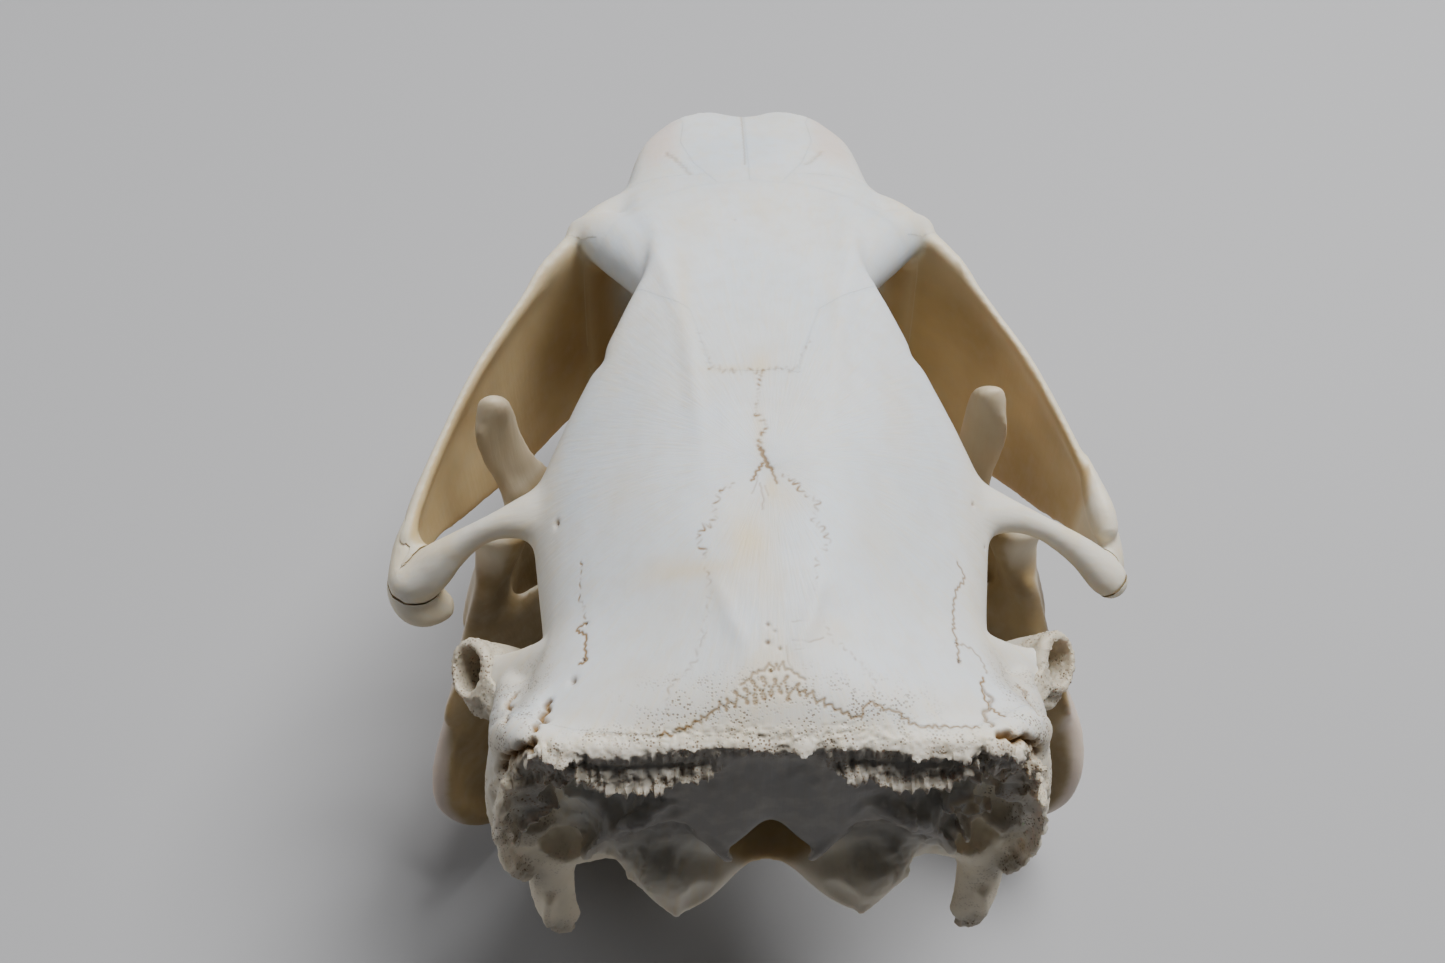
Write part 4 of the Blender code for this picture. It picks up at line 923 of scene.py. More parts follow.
NAPE_BARS = [
    # the plate's rim, the bump beside it, the outer wall, the condyle's ridge and the hooked lower end:
    # which way is up, and the rows of a sweep
    (FORWARD, [(7.2, -2.1, 20.4, 0.7, 0.5), (5.9, -2.7, 18, 0.75, 0.5), (4.8, -2.9, 16.2, 0.7, 0.5)]),
    (FORWARD, [(12.8, -1.4, 26.6, 1, 1), (15.2, -2.3, 25, 1.2, 1.1), (17.4, -1.8, 22.6, 0.8, 0.9),
               (19.4, -1, 18.6, 0.6, 0.8), (21.8, -0.8, 13.4, 0.6, 0.8)]),
    (FORWARD, [(28.8, 1, 30.4, 0.7, 1.8), (30.6, 0, 24, 0.7, 2), (31.3, -0.4, 17.6, 0.7, 2),
               (30.6, -0.5, 11, 0.8, 1.8), (29.2, -0.4, 7.6, 0.9, 1.4)]),
    (UP, [(16.6, -2.4, 10.9, 0.5, 0.6), (13.6, -4.5, 9.4, 0.55, 0.65), (11, -6.1, 7.7, 0.5, 0.55)]),
    (FORWARD, [(26.8, -1.6, 2.6, 1, 1.2), (27.2, -2.4, -1, 1, 1.2), (26.2, -2.8, -3.8, 0.9, 1),
               (24.8, -2.6, -4.8, 0.7, 0.8)]),
]
NAPE_LEAVES = {
    # thin leaves of bone that one side alone has
    LEFT: [
        ((0, 1, 0.2), [(29.3, -0.6, 18, 0.35, 1.5), (28.8, -0.2, 20.6, 0.35, 1.7),
                       (27.2, 0.4, 22.8, 0.35, 1.7), (24.4, 1.2, 24.4, 0.35, 1.5)]),
    ],
    RIGHT: [
        (FORWARD, [(21.6, 2, 19.6, 0.35, 1.7), (22.8, 1.2, 16.8, 0.35, 1.8), (23.8, 0.6, 14, 0.35, 1.6)]),
        (FORWARD, [(19.2, 0.2, 24.6, 0.3, 1.3), (21.4, 0.6, 22.4, 0.3, 1.7), (25.4, 0.8, 21.8, 0.3, 1.5)]),
    ],
}


def nape_hollows(side):
    """What is scooped from the back of one side of the skull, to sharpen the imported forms."""
    tools = [sweep("groove", rows, side=side) for rows in NAPE_GROOVES]
    for (x, y, z), radii, (tip, roll, turn) in NAPE_SCOOPS:
        tools.append(ball("scoop", (side * x, y, z), radii, (tip, side * roll, side * turn)))
    return tools


def nape_forms(side):
    """The sharp forms on the back of one side: ledges, thin leaves and rims."""
    second = [(side * x, y, z) for x, y, z in SECOND_LIP]
    forms = [ragged("second_lip", second, 0.5, 0.46, 0.5, 11 + side)]
    forms += [coral(side, low, high, count, size, seed + side) for low, high, count, size, seed in CORALS]
    forms += [sweep("bar", rows, up=up, side=side) for up, rows in NAPE_BARS + NAPE_LEAVES[side]]
    return forms


NOSE_FRONT = [
    (13.5, 121.2), (12, 119.6), (10.5, 120), (9, 120.8), (7.5, 121.6), (6, 122.3), (4, 122.9),
]


def nose_front():
    """What lies in front of the nose's rounded upper edge."""
    edge = [(-x, y) for x, y in NOSE_FRONT] + [(0, 123.2)] + NOSE_FRONT[::-1]
    return region([*edge, (13.5, 135), (-13.5, 135)], 10, 50, lean=10)


def bar_ends():
    """The wedge at the rear end of the right cheek arch, and the club that the right bar ends in."""
    wedge = [(44.3, 50.6, 22.6, 1, 1.3), (44.8, 47, 21.6, 1.8, 2.4), (45.5, 43.6, 20.6, 2.2, 3),
             (46, 40.8, 19.9, 1.7, 2.3)]
    club = [(40.4, 37, 22, 1.7, 1.7), (43, 36.1, 19.9, 2.3, 2.1), (45, 35.2, 18.1, 2.7, 2.4),
            (46.2, 34.6, 17, 2.6, 2.3)]
    return [sweep("wedge", wedge), sweep("club", club)]


def ear_web(side):
    """The saddle of bone that runs from the braincase out to the ear's opening."""
    rows = [(24.8, 16.2, 29, 1.6, 3.4), (28.2, 16.6, 25.4, 1.5, 3.6), (31.2, 17.4, 23, 1.3, 3.4),
            (33.4, 18.2, 22, 1, 3)]
    return sweep("ear_web", rows, up=(0, 1, 0.4), side=side)


def orbit_lobe(side):
    """The rounded bone that closes the eye socket in front, from the roof's edge to the arch's root."""
    rows = [(24, 84.2, 32.6, 2.4, 2.8), (21.6, 82.8, 33.6, 3.6, 3.6), (18, 80, 34.6, 4.8, 4.4),
            (14.6, 76, 35.8, 5.2, 4.8), (11.4, 70.4, 37, 4.6, 4.6)]
    return sweep("orbit_lobe", rows, sides=18, side=side)


def blended(body):
    """Smooth the front of the eye sockets, where the roof, the lobe and the arch's root flow together."""
    bm = bmesh.new()
    bm.from_mesh(body.data)
    chosen = [
        vert for vert in bm.verts
        if 9 < abs(vert.co.x) < 29 and 66 < vert.co.y < 94 and vert.co.z > 27
    ]
    axes = {"use_axis_x": True, "use_axis_y": True, "use_axis_z": True}
    for _ in range(14):
        bmesh.ops.smooth_vert(bm, verts=chosen, factor=0.5, **axes)
    bm.to_mesh(body.data)
    bm.free()
    return body


BAR_START = [(27.5, 38.3, 27.8, 4.2, 3.2), (32, 38, 27, 2.3, 2.1), (36, 37.7, 25, 1.7, 1.8)]
BAR = {
    # the bar over the jaw joint, whose end meets the cheek arch: x, y, z, half thickness, half height
    RIGHT: [*BAR_START, (40, 37.1, 22.2, 2, 1.9), (43.6, 36, 19.5, 2.7, 2.3), (45.6, 35, 17.7, 2.9, 2.4)],
    LEFT: [*BAR_START, (40, 37.2, 21.6, 2.6, 2.2), (43.2, 36.8, 17.8, 3.8, 2.9),
           (45.4, 37.6, 15.8, 4.2, 3.2), (46.4, 40.4, 16.8, 2.6, 2.8), (46.8, 43.2, 18.6, 1.6, 1.8)],
}
ARCH_PLAN = [
    # where a cheek arch lies behind its joint with the upper jaw, seen from above
    (21.5, 79), (27, 83), (60, 83), (60, 30), (39, 30), (38, 45), (34, 55), (30, 64), (27, 70),
    (23, 75),
]
BAR_GROOVE = {RIGHT: 0.30, LEFT: 0.12}


def arch_space(side, groove):
    """Where a cheek arch lies, short of the bar by a groove."""
    space = region([(side * x, y) for x, y in ARCH_PLAN], -20, 60)
    rows = [(x, y, z, thick + groove, high + groove) for x, y, z, thick, high in BAR[side]]
    return cut(space, sweep("bar", rows, sides=16, side=side))


NOTCHES = [
    # small nicks in the rims of the cheek arches: place, radii
    ((-39, 61.6, 29.6), (0.7, 1, 0.9)),
    ((29.2, 76.8, 34.8), (0.8, 0.9, 1)),
    ((45.6, 48.4, 24), (0.8, 1.1, 1)),
]


def cranium_body(grain):
    """The whole upper skull as one smooth body, its hollows and ledges in place."""
    body = merged("cranium", [rounded_copy(node, PARTING) for node in CRANIUM])
    melt(body, COARSE, 7)
    swell(body, -PARTING + KEPT_SWELL)
    for side in (RIGHT, LEFT):
        for tool in nape_hollows(side):
            cut(body, tool)
    cut(body, nose_front())
    for place, radii in NOTCHES:
        cut(body, ball("notch", place, radii))
    forms = [body, *bar_ends(), ragged("lip", CREST_LIP, 0.5, 0.40, 0.62, 2)]
    for side in (RIGHT, LEFT):
        forms += [*nape_forms(side), ear_web(side), orbit_lobe(side)]
    return blended(melt(merged("cranium", forms), grain, 2))


def roof_marks(body):
    """The sutures, clefts and pits on the upper skull."""
    sutures = Marks(body)
    for points, wander, period, dirt, seed in MAZE:
        maze = {"wander": wander, "period": period, "loops": 0.20, "seed": seed, "swing": lambda_swing}
        sutures.line(points, 0.15, -0.10, 1.3 * dirt, **maze)
    for index, (points, reach, depth, dirt, wander, period) in enumerate(SUTURES):
        fine = {"wander": wander, "period": period, "seed": index * 3.7}
        sutures.line(points, reach + 0.03, -0.5 * depth, dirt * 2, **fine)
    for points, reach, depth, dirt in SLOTS:
        sutures.line(points, reach, -depth, dirt, wander=0.35, period=1.9, seed=points[0][1])
    for place, reach, depth, dirt in PITS:
        sutures.pit(place, reach, depth, dirt)
    return sutures.ready()


def crest_marks(body):
    """Where the crest is rough: along its two lips, in the clusters beside them and on the hooks."""
    lip = Marks(body)
    lip.line(CREST_LIP, 1, 0.5)
    for side in (RIGHT, LEFT):
        for points in CREST_ROUGH:
            lip.line([(side * x, y, z) for x, y, z in points], 1, 0.5)
    return lip.ready()


def thinned(points):
    """How far each point of the cheek arches is drawn in, so that their plates and rims are thin."""
    x, y, z = points.T
    wide = np.abs(x)
    behind = ease(80 - y, 0, 6)
    plate = ease(wide, 26 + (72 - y) * 0.36, 28.5 + (72 - y) * 0.36)
    bar = fall(44.5 - y, 0, 4)
    return -0.42 * behind * plate * bar


MARKS_NEAR = (0.75, 0.40)  # how near the sutures and pits the skin is split in four once, and again
LIP_NEAR = 2.4  # how near the crest's lips it is split in four


def sculpt_cranium(body):
    """Cut the sutures and pits, raise the ridges and roughen the crest."""
    sutures = roof_marks(body)
    ridges = Marks(body)
    for points, reach, height in RIDGES:
        ridges.line(points, reach, height, broad=True)
    ridges.ready()
    lip = crest_marks(body)
    push(body, thinned(positions(body)))

    def near_any(points):
        return (sutures.read(points)[2] < MARKS_NEAR[0]) | (lip.read(points)[2] < LIP_NEAR)

    refine(body, near_any)
    refine(body, lambda points: sutures.read(points)[2] < MARKS_NEAR[1])
    points = positions(body)
    x, y, z = points.T
    wide = np.abs(x)
    height = sutures.read(points)[0]
    height += ridges.read(points)[0]
    crest = fall(lip.read(points)[2], 0.7, 2.6)
    nape = fall(y, 1, 5) * ease(wide, 12, 20) * 0.35
    walls = ease(wide, 25, 29) * fall(y, 10, 17) * ease(z, 12, 18) * 0.42
    rough = most(0.8 * crest, nape, walls)
    folds = fall(y, 2.5, 4.5) * ease(wide, 7.5, 11.5) * fall(z, 29, 32) * ease(z, 8, 13)
    hung = fall(y, 0, 2) * ease(z, 29, 32) * fall(z, 38, 39) * (0.25 + 0.75 * crest)
    for share, shape, values in (
        (rough, grit, (1.35, 0.34, 4)),
        (folds, scars, (0.36, 6)),
        (hung, curtain, (0.75, 2)),
    ):
        near = share > 0.01
        height[near] += share[near] * shape(points[near], *values)
    push(body, height)
    return sutures, lip


def stained(points):
    """The yellow stains on the vault, from rows of a place and its spread to the side and forward."""
    total = np.zeros(len(points))
    for x, y, across, ahead, strength in STAINS:
        off = ((points[:, 0] - x) / across) ** 2 + ((points[:, 1] - y) / ahead) ** 2
        total += strength * np.exp(-off)
    return total


def paint_cranium(piece, sutures, lip):
    """Give a bone of the upper skull its dirt, warmth, pores and amber parts, and its painted shade."""
    points = positions(piece)
    way = normals(piece)
    dirt = sutures.read(points)[1]
    gap = lip.read(points)[2]
    x, y, z = points.T
    wide = np.abs(x)
    facing = -np.sign(x) * way[:, 0]
    under = ease(-way[:, 2], -0.2, 0.6)
    # each part of the skull is 1 inside and 0 outside
    crest = fall(gap, 0.6, 3.6)
    nape = fall(y, 0.5, 4)
    flank = ease(wide, 20, 27) * fall(z, 32, 36.5)
    snout = ease(y, 86, 108) * ease(wide, 4, 17)
    low = fall(z, 8, 20)
    bar = ease(wide, 26, 31) * ease(y, 26, 31) * fall(y, 44, 50) * fall(z, 27, 34)
    root = ease(wide, 17, 22) * ease(y, 76, 84) * fall(y, 92, 100)
    flare = fall(wide / (1.7 + 4.4 * fall(y, 4, 11)), 0.6, 1) * fall(y, 18, 28) * ease(y, 2, 4)
    socket = ease(34 - z, 0, 5) * ease(y, 50, 60) * fall(y, 83, 87) * fall(wide, 40, 46)
    socket *= 1 - ease(wide, 30, 36) * ease(-facing, 0, 0.4)
    plate_edge = (72 - y) * 0.36
    plate = ease(wide, 25 + plate_edge, 28 + plate_edge) * ease(y, 34, 40) * fall(y, 80, 84)
    white_end = ease(x + 0.30 * (46 - y), 43.4, 44.8) * fall(y, 48, 52)
    plate_back = fall(y, -0.5, 4.5) * fall(wide, 27, 31) * ease(z, 12, 18)
    # the foramen's bore and the nostril take amber as painted shade inside them
    bore = fall((x / 6.6) ** 2 + ((z - 13) / 8.2) ** 2, 0.7, 1.15) * ease(y, -0.5, 1.5) * fall(y, 24, 30)
    nostril = fall((x / 8.6) ** 2 + ((z - 13.4) / 10.2) ** 2, 0.75, 1)
    nostril *= ease(y, 96, 100) * fall(y, 106, 117)
    band = fall(y, 3.5, 9) * (1 - 0.5 * ease(wide, 10, 20)) * ease(z, 38, 40)
    slope = ease(wide, 24, 27) * fall(y, 14, 18) * ease(z, 12, 18)
    under_lip = fall(y, -1.2, -0.2) * ease(z, 30, 33) * fall(z, 37.4, 38.4)
    scooped = fall(y, 1, 4) * ease(wide, 8, 12) * fall(wide, 28.5, 31) * ease(z, 11, 16) * fall(z, 33, 36)
    nose_side = ease(y, 96, 104) * ease(wide, 9, 12) * fall(wide, 14, 17) * ease(z, 24, 27)
    inner = plate * ease(facing, 0.05, 0.6) * (1 - 0.25 * ease(z, 22, 34)) * (1 - white_end)
    warm = 0.45 * crest + 0.30 * nape + 0.45 * flank + 0.42 * snout + 0.5 * low + 0.5 * root
    warm += bar * (0.10 + 0.75 * under) + 0.35 * fall(y, 4, 8) * (1 - nape)
    warm += plate * (0.75 * (1 - white_end) - 0.5 * root * ease(-facing, 0, 0.4))
    # Painted shade: on the nape's plate where it faces back and down, under the crest's lip, in the nape's
    # hollows, on the rear of the crest and on the mastoid's slope
    behind = 0.85 * plate_back * ease(-way[:, 1] - 0.6 * way[:, 2], -0.1, 0.5)
    shade = 0.16 * slope * fall(z, 33, 37)
    paint(
        piece,
        stain=(0.95 * stained(points) + 0.16 * flare) * ease(z, 36, 40),
        # the crest's downward faces take the dirt tone as well, as painted shade under its lips
        dirt=dirt + 0.30 * crest * ease(-way[:, 2], 0.1, 0.8),
        warm=warm,
        # amber: thin bone's own yellowed tone on its inner faces, together with painted shade and a painted
        # glow of light through the thin bone; in the bore and the nostril it is painted shade, and the bars
        # take a little where they face down
        amber=most(0.95 * inner, 0.9 * socket * (1 - plate), 0.8 * nostril, bore, 0.25 * bar * under),
        pores=most(0.95 * crest, 0.75 * band, slope, 0.3 * flank * nape),
        dusky=most(behind, 0.62 * under_lip, 0.55 * scooped, 0.5 * crest * fall(y, -0.8, 0.6), shade),
        pink=0.6 * nose_side,
    )


# Where the bones of the upper skull part, seen from above
OCCIPUT_LEFT = [
    (-44, 11), (-31, 7.4), (-28, 6.2), (-25.4, 4.2), (-21.5, 2.4), (-16, 1.4), (-12.2, 1),
]
OCCIPUT_RIGHT = [
    (9.2, 2.3), (10.6, 3.4), (13, 3), (15, 1.9), (19, 1.9), (21.8, 2.2), (25, 4), (28, 6.4), (31, 7.6),
    (44, 11),
]
FRONTAL_BACK = [
    (-24, 70), (-17, 66), (-8.7, 58.8), (-6.8, 51), (-6.2, 48.4), (-4.7, 47.8), (-0.6, 47.6), (2.6, 48),
    (4.5, 47.2), (4.9, 49.6), (7.7, 58.8), (17, 66), (24, 70),
]
FRONTAL_FRONT = [(21, 77.5), (14, 86), (8, 90), (0, 91.5), (-8, 90), (-14, 86), (-21, 77.5)]
NASAL_EDGE = [(0, 86), (4.2, 88), (8, 97), (10, 106), (9.6, 114), (12.5, 126), (0, 126)]
# and these seen from the side
SNOUT_JOINT = [(91.5, 60), (95.5, 22), (94, -20)]
UPPER_JAW_BACK = [(43, -20), (43, 9), (56, 19), (62, 25.6), (71, 25.6), (71, 60)]


def lambda_outline():
    """The suture at the back, seen from above, as the line of its groove."""
    path = smooth_path([(x, y) for x, y, _ in LAMBDA], 24)
    return [tuple(point) for point in path[::6]]


def part_cranium(body):
    """Part the upper skull into its bones, each closed, with a hairline between them."""
    bones = {}
    for side, word in SIDES:
        left = arch_space(side, BAR_GROOVE[side] - 0.25)
        left.data.transform(Matrix.Translation((0, SEAM, 0)))
        bones["cheek_arch_" + word] = part_off(body, "arch", arch_space(side, BAR_GROOVE[side]), left)
    back = OCCIPUT_LEFT + lambda_outline()[1:-1] + OCCIPUT_RIGHT + [(44, -40), (-44, -40)]
    bones["occiput"] = part_at(body, "occiput", (0, SEAM, 0), back, -30, 70)
    brow = FRONTAL_BACK + FRONTAL_FRONT
    bones["frontal"] = part_at(body, "frontal", (0, -SEAM, -SEAM), brow, 26, 70)
    for side, word in SIDES:
        edge = [(side * (x + SEAM), y) for x, y in NASAL_EDGE]
        bones["nasal_" + word] = part_at(body, "nasal", (side * SEAM, 0, -SEAM), edge, 28.4, 44, lean=-21)
    front = [*UPPER_JAW_BACK, (140, 60), (140, -20)]
    jaw = part_at(body, "upper_jaw", (0, -SEAM, SEAM), front, -40, 40, along="X")
    front = [*SNOUT_JOINT, (140, -20), (140, 60)]
    bones["snout"] = part_at(jaw, "snout", (0, -SEAM, 0), front, -40, 40, along="X")
    bones["upper_jaw"] = jaw
    bones["braincase"] = body
    return bones


def colour_setting(label, about, colour):
    """A colour that can be set in the panel."""
    return FloatVectorProperty(name=label, description=about, subtype="COLOR", default=colour)


def number_setting(label, about, unit, value):
    """A number with a unit that can be set in the panel."""
    return FloatProperty(name=label, description=about, unit=unit, default=value)


class SkullColours(bpy.types.PropertyGroup):
    """The colours of the bone and the teeth."""

    cool: colour_setting("Cool bone", "The vault's pale tone", (0.70, 0.73, 0.75))
    warm: colour_setting("Warm bone", "The tone of edges and bars", (0.76, 0.67, 0.50))
    amber: colour_setting("Amber bone", "The inner faces of thin bone", (0.66, 0.51, 0.27))
    deep: colour_setting("Deep amber", "Darker patches of the inner faces", (0.47, 0.33, 0.15))
    enamel: colour_setting("Enamel", "The front of the front teeth", (0.62, 0.24, 0.045))
    dentine: colour_setting("Dentine", "The back of the front teeth", (0.74, 0.66, 0.47))


class SkullSizes(bpy.types.PropertyGroup):
    """The sizes that set how fine the bones are."""

    grain: number_setting("Grain", "Width of a finished bone's faces", "LENGTH", 0.00045)


class SKULL_OT_upper(bpy.types.Operator):
    """Make the bones of the upper skull with the cheek arches"""

    bl_idname = "skull.upper"
    bl_label = "Upper skull"

    def execute(self, context):
        grain = context.scene.skull_sizes.grain / MM
        body = cranium_body(grain)
        sutures, lip = sculpt_cranium(body)
        for name, bone in part_cranium(body).items():
            paint_cranium(cleaned(bone), sutures, lip)
            slot = "rough_bone" if name == "occiput" else "bone"
            finished(bone, name + "_bone", skull_bone(), slot, name)
        return {"FINISHED"}


MOUTH = Vector((36.0, 19.5, 21.8))  # the middle of the right ear's opening
MOUTH_LONG = Vector((0.22, 0.92, 0.31)).normalized()
MOUTH_SHORT = Vector((-0.76, -0.04, 0.66)).normalized()
MOUTH_OUT = MOUTH_LONG.cross(MOUTH_SHORT).normalized()
RIM_KNOBS = 44
SLAB = 14.0  # a block this wide cuts the ear's tube off


def slab(off, side):
    """A block that takes all of the ear beyond a place off along the way it opens."""
    bm = bmesh.new()
    bmesh.ops.create_cube(bm, size=SLAB)
    turn = MOUTH_OUT.to_track_quat("Z", "Y").to_matrix().to_4x4()
    middle = MOUTH + off * MOUTH_OUT + MOUTH_OUT * SLAB / 2
    bmesh.ops.transform(bm, matrix=Matrix.Translation(middle) @ turn, verts=bm.verts)
    if side == LEFT:
        bmesh.ops.transform(bm, matrix=Matrix.Diagonal((-1, 1, 1, 1)), verts=bm.verts)
        bmesh.ops.reverse_faces(bm, faces=bm.faces)
    return from_bmesh("slab", bm)


def ear_mouth(side):
    """The thick, uneven rim round the ear's opening, with the porous swelling behind it."""
    rows = []
    for i in range(RIM_KNOBS):
        angle = 2 * math.pi * i / RIM_KNOBS
        across, along = 2.6 * math.sin(angle), 3.3 * math.cos(angle)
        place = MOUTH + along * MOUTH_LONG + across * MOUTH_SHORT - 0.3 * MOUTH_OUT
        uneven = noise.noise(Vector((i * 0.5, side * 3, 0)))
        thick = 0.66 + 0.42 * ease(math.sin(angle), -0.2, 1) + 0.12 * uneven
        rows.append(((side * place.x, place.y, place.z), (thick, thick, thick)))
    return knobs("mouth", rows)


def ear_parts(side):
    """The tube's flared end and its flank, for the ear capsule to be melted with."""
    tube = [(29.2, 21.6, 13.6, 3.6, 4.4), (32.8, 20.8, 17.8, 3.3, 4.3), (35.8, 19.6, 21.3, 2.9, 3.9)]
    flank = [(33.8, 16.6, 22.6, 1.2, 1.6), (32.4, 14.8, 21.4, 1.3, 2), (31.2, 12.6, 19.6, 1.2, 2.2)]
    return [
        sweep("tube", tube, up=(0, 1, 0.1), sides=16, side=side),
        sweep("flank", flank, up=(0, 0.4, 1), side=side),
        ear_mouth(side),
    ]


def sculpted_ear(side, word):
    """The ear capsule with its tube cut off slantwise and bored out at the opening."""
    ear = rounded_copy("ear_capsule_" + word)
    cut(ear, slab(-0.9, side))
    ear = merged("ear", [ear, *ear_parts(side)])
    melt(ear, EAR_GRAIN[0], 2)
    cut(ear, slab(0.5, side))
    rows = []
    for along, wide, high in ((-6, 1.5, 1.9), (-2, 2, 2.6), (1.5, 2.3, 2.9), (5, 2.6, 3.2)):
        place = MOUTH + along * MOUTH_OUT
        rows.append((*place, wide, high))
    bore = sweep("bore", rows, up=tuple(MOUTH_LONG), sides=20, side=side)
    return melt(cut(ear, bore), EAR_GRAIN[1], 1)


class SKULL_OT_ears(bpy.types.Operator):
    """Make the ear capsules and their tubes"""

    bl_idname = "skull.ears"
    bl_label = "Ear capsules"

    def execute(self, context):
        for side, word in SIDES:
            ear = sculpted_ear(side, word)
            points = positions(ear)
            way = normals(ear)
            mouth = np.array((side * MOUTH.x, MOUTH.y, MOUTH.z))
            rim = fall(np.linalg.norm(points - mouth, axis=1), 4.2, 6.4)
            back = np.maximum(rim, ease(-way[:, 1], -0.2, 0.6) * ease(points[:, 2], 8.0, 14.0))
            push(ear, back * grit(points, 2.1, 0.24, 14.0))
            # Painted shade over the whole ear capsule, more on its rim and on its faces turned back
            paint(ear, amber=0, warm=0.55 + 0.3 * back, dusky=0.22 + 0.10 * back, dirt=0, pores=back)
            node = "ear_capsule_" + word
            finished(ear, node + "_bone", skull_bone(), "rough_bone", node)
        return {"FINISHED"}


def jaw_web(side):
    """The thin bone that fills the notch in front of the jaw's head."""
    rows = [(32, 51, 2, 1.1, 8), (34.2, 48, 4, 1.1, 8.6), (35.6, 44.8, 5, 1.4, 9)]
    return sweep("jaw_web", rows, sides=14, side=side)


def jaw_scoop(side):
    """The hollow in the back of the jaw's angle, inside its thick rim."""
    return ball("scoop", (side * 40.4, 24.6, -19), (3.3, 4.6, 12.5), (-8, side * 4, 0))


def nudged(jaw):
    """Set the tip of the left jaw's upright blade a little further out and lower."""
    points = positions(jaw)
    share = ease(points[:, 2], 6.0, 22.0) * ease(points[:, 1], 48.0, 52.0)
    points[:, 0] -= 1.1 * share
    points[:, 2] -= 0.9 * share
    jaw.data.vertices.foreach_set("co", points.astype(np.float32).ravel())
    jaw.data.update()


class SKULL_OT_jaws(bpy.types.Operator):
    """Make the two halves of the lower jaw"""

    bl_idname = "skull.jaws"
    bl_label = "Lower jaw"

    def execute(self, context):
        for side, word in SIDES:
            jaw = melt(merged("jaw", [rounded_copy("jaw_" + word), jaw_web(side)]), JAW_GRAIN, 4)
            cleaned(melt(cut(jaw, jaw_scoop(side)), JAW_GRAIN, 3))
            if side == LEFT:
                nudged(jaw)
            x, y, z = positions(jaw).T
            way = normals(jaw)
            wide = np.abs(x)
            facing = -np.sign(x) * way[:, 0]
            blade = ease(y, 48, 54) * ease(z, 8, 14)
            behind = fall(y, 41, 46) * fall(wide, 43.2, 44.8) * fall(z, 10, 16)
            behind *= ease(most(-way[:, 1], facing), 0, 0.5)
            inner = most(ease(facing, -0.1, 0.5) * ease(wide, 22, 32), behind)
            push(jaw, -0.45 * blade)
            # the inner faces and the back of the angle take amber: the jaw's own yellowed tone, with
            # painted shade where they lie in shadow
            amber = most(0.95 * inner * (1 - blade), 0.45 * blade)
            pink = 0.7 * (1 - inner) * ease(wide, 38, 42)
            paint(jaw, amber=amber, warm=0.85, pink=pink, dirt=0, pores=0)
            finished(jaw, "jaw_" + word + "_bone", jaw_bone(), "jaw_bone", "jaw_" + word)
        return {"FINISHED"}


TOOTH_CENTRES = {"upper": (92.0, -10.0), "lower": (78.5, 2.0)}  # y and z that the front teeth curve round


class SKULL_OT_front_teeth(bpy.types.Operator):
    """Make the four front teeth"""

    bl_idname = "skull.front_teeth"
    bl_label = "Front teeth"

    def execute(self, context):
        colours = context.scene.skull_colours
        tones = tuple(colours.enamel), tuple(colours.dentine)
        enamel = made("front_enamel", enamel_material, *tones)
        for jaw, centre in TOOTH_CENTRES.items():
            for _, word in SIDES:
                tooth = melt(rounded_copy(f"{jaw}_incisor_{word}"), TOOTH_GRAIN, 6)
                out = positions(tooth)[:, 1:] - np.array(centre)
                out /= np.linalg.norm(out, axis=1)[:, None]
                facing = (out * normals(tooth)[:, 1:]).sum(axis=1)
                paint(tooth, enamel=ease(facing, 0.25, 0.45))
                finished(tooth, f"{jaw}_incisor_{word}_tooth", enamel, "enamel", f"{jaw}_incisor_{word}")
        return {"FINISHED"}


# The stage


CAMERA_TURN = math.radians(-1.50)
CAMERA_RISE = math.radians(52.55)
CAMERA_ROLL = math.radians(0.55)
CAMERA_AIM = Vector((-4.843, 40.0, 32.341))  # millimetres on the skull
CAMERA_DISTANCE = 187.6  # millimetres
CAMERA_FOCUS = 1500.0  # focal length in pixels of a picture this wide:
PICTURE_WIDTH = 1445.0
SENSOR_WIDTH = 36.0
NEAR_CLIP = 0.005
FLOOR_SIZE = 4.0
WORLD_TONE = (0.92, 0.95, 1.0, 1.0)
WORLD_STRENGTH = 0.065
LIT_PLACE = (0.0, 0.0, 0.05)
LIGHTS = [
    # name, place and size in metres, and the setting that holds its power
    ("main_light", (0.24, 0.22, 0.72), 0.42, "key"),
    ("side_light", (-0.50, 0.22, 0.30), 0.4, "side"),
    ("fill_light", (0.25, -0.65, 0.45), 0.5, "fill"),
]


def place_camera():
    """The camera, above and behind the skull as in the photograph."""
    turn, rise = CAMERA_TURN, CAMERA_RISE
    back = Vector((math.sin(turn) * math.cos(rise), -math.cos(turn) * math.cos(rise), math.sin(rise)))
    across = (-back).cross(Vector((0, 0, 1))).normalized()
    up = back.cross(across)
    side = across * math.cos(CAMERA_ROLL) + up * math.sin(CAMERA_ROLL)
    top = up * math.cos(CAMERA_ROLL) - across * math.sin(CAMERA_ROLL)
    lens = bpy.data.cameras.new("camera")
    lens.sensor_width = SENSOR_WIDTH
    lens.lens = SENSOR_WIDTH * CAMERA_FOCUS / PICTURE_WIDTH
    lens.clip_start = NEAR_CLIP
    camera = added("camera", lens)
    pose = Matrix((side, top, back)).transposed().to_4x4()
    pose.translation = PLACE @ (CAMERA_AIM + back * CAMERA_DISTANCE)
    camera.matrix_world = pose
    bpy.context.scene.camera = camera


def area_light(name, place, size, power):
    """A round soft light that hangs at a place and shines on the skull."""
    light = bpy.data.lights.new(name, "AREA")
    light.shape = "DISK"
    light.size = size
    light.energy = power
    lamp = added(name, light)
    lamp.location = place
    lamp.rotation_euler = (Vector(place) - Vector(LIT_PLACE)).to_track_quat("Z", "Y").to_euler()


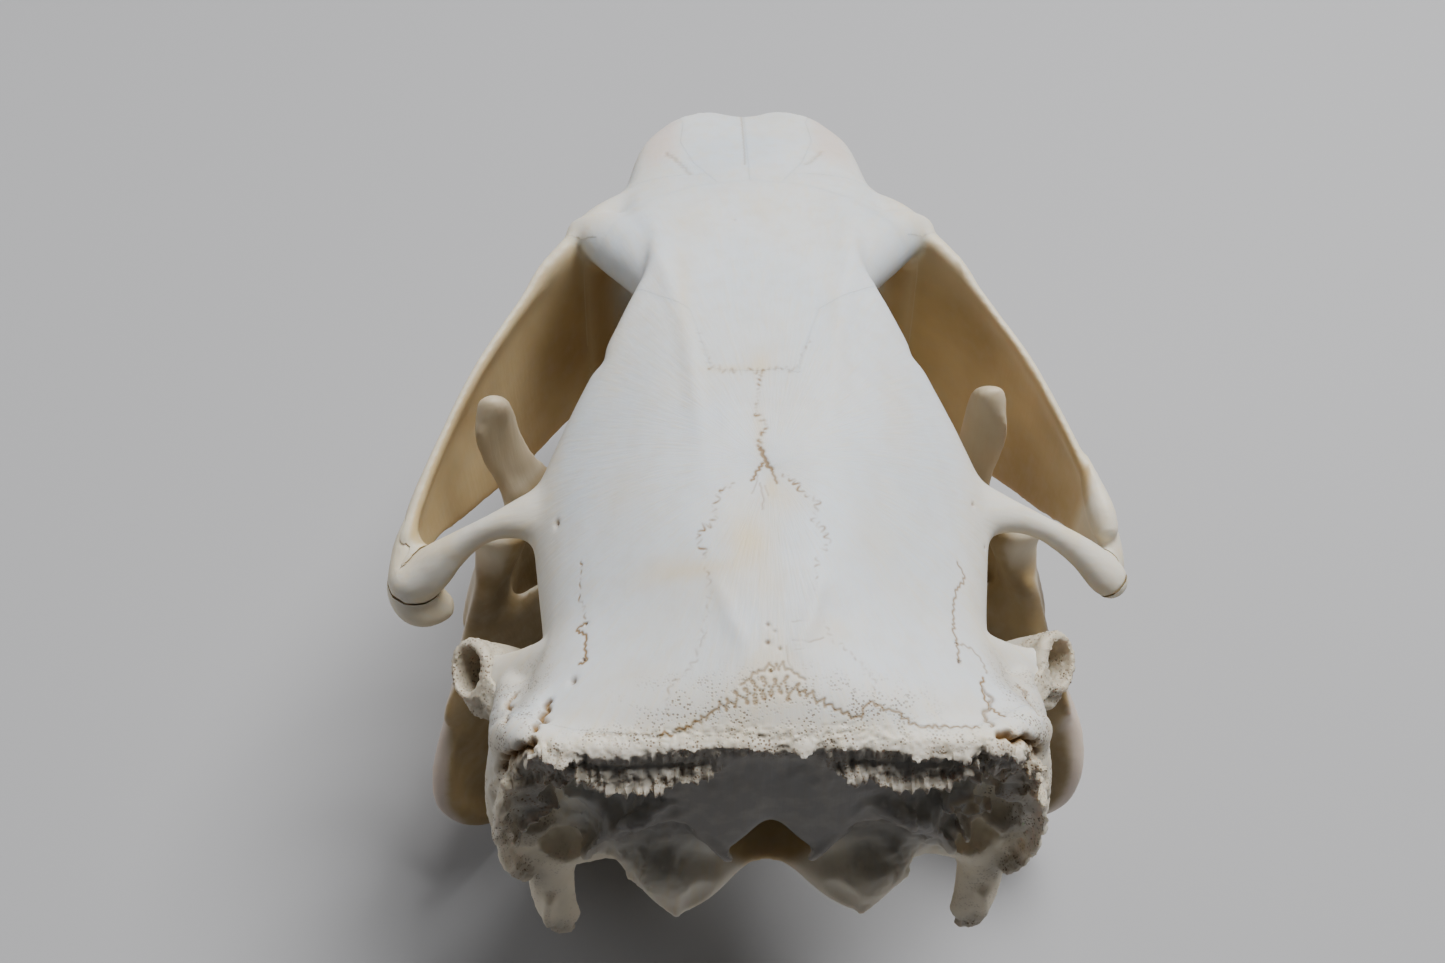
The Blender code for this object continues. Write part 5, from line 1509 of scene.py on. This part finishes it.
class SkullStage(bpy.types.PropertyGroup):
    """The floor and the lights."""

    floor: colour_setting("Floor", "The floor's colour", (0.40, 0.40, 0.41))
    key: number_setting("Main light", "Power of the light overhead", "POWER", 9.9)
    side: number_setting("Side light", "Power of the light at the left", "POWER", 1.0)
    fill: number_setting("Fill light", "Power of the light behind the camera", "POWER", 0.03)


class SKULL_OT_stage(bpy.types.Operator):
    """Lay the pale floor, hang the lights and place the camera"""

    bl_idname = "skull.stage"
    bl_label = "Stage"

    def execute(self, context):
        stage = context.scene.skull_stage
        bm = bmesh.new()
        bmesh.ops.create_grid(bm, x_segments=1, y_segments=1, size=FLOOR_SIZE)
        floor = from_bmesh("floor", bm)
        material, _, shader = principled("pale_floor")
        dressed(shader, Base_Color=(*stage.floor, 1.0), Roughness=0.75)
        floor.data.materials.append(material)
        world = bpy.data.worlds.new("studio")
        world.use_nodes = True
        dressed(world.node_tree.nodes["Background"], Color=WORLD_TONE, Strength=WORLD_STRENGTH)
        context.scene.world = world
        for name, place, size, setting in LIGHTS:
            area_light(name, place, size, getattr(stage, setting))
        place_camera()
        return {"FINISHED"}


STEPS = ("upper", "ears", "jaws", "front_teeth", "stage")


class SKULL_PT_panel(bpy.types.Panel):
    """Lists the sizes, the colours and the steps"""

    bl_label = "Skull"
    bl_space_type = "VIEW_3D"
    bl_region_type = "UI"
    bl_category = "Skull"

    def draw(self, context):
        scene = context.scene
        for settings in (scene.skull_sizes, scene.skull_colours, scene.skull_stage):
            for name in settings.__annotations__:
                self.layout.prop(settings, name)
        for step in STEPS:
            self.layout.operator("skull." + step)


CLASSES = (
    SkullColours, SkullSizes, SkullStage, SKULL_OT_upper, SKULL_OT_ears, SKULL_OT_jaws,
    SKULL_OT_front_teeth, SKULL_OT_stage, SKULL_PT_panel,
)


def register():
    for part in CLASSES:
        bpy.utils.register_class(part)
    bpy.types.Scene.skull_colours = PointerProperty(type=SkullColours)
    bpy.types.Scene.skull_sizes = PointerProperty(type=SkullSizes)
    bpy.types.Scene.skull_stage = PointerProperty(type=SkullStage)


def unregister():
    del bpy.types.Scene.skull_stage
    del bpy.types.Scene.skull_sizes
    del bpy.types.Scene.skull_colours
    for part in reversed(CLASSES):
        bpy.utils.unregister_class(part)


def main():
    register()
    for step in STEPS:
        getattr(bpy.ops.skull, step)()


if __name__ == "__main__":
    main()
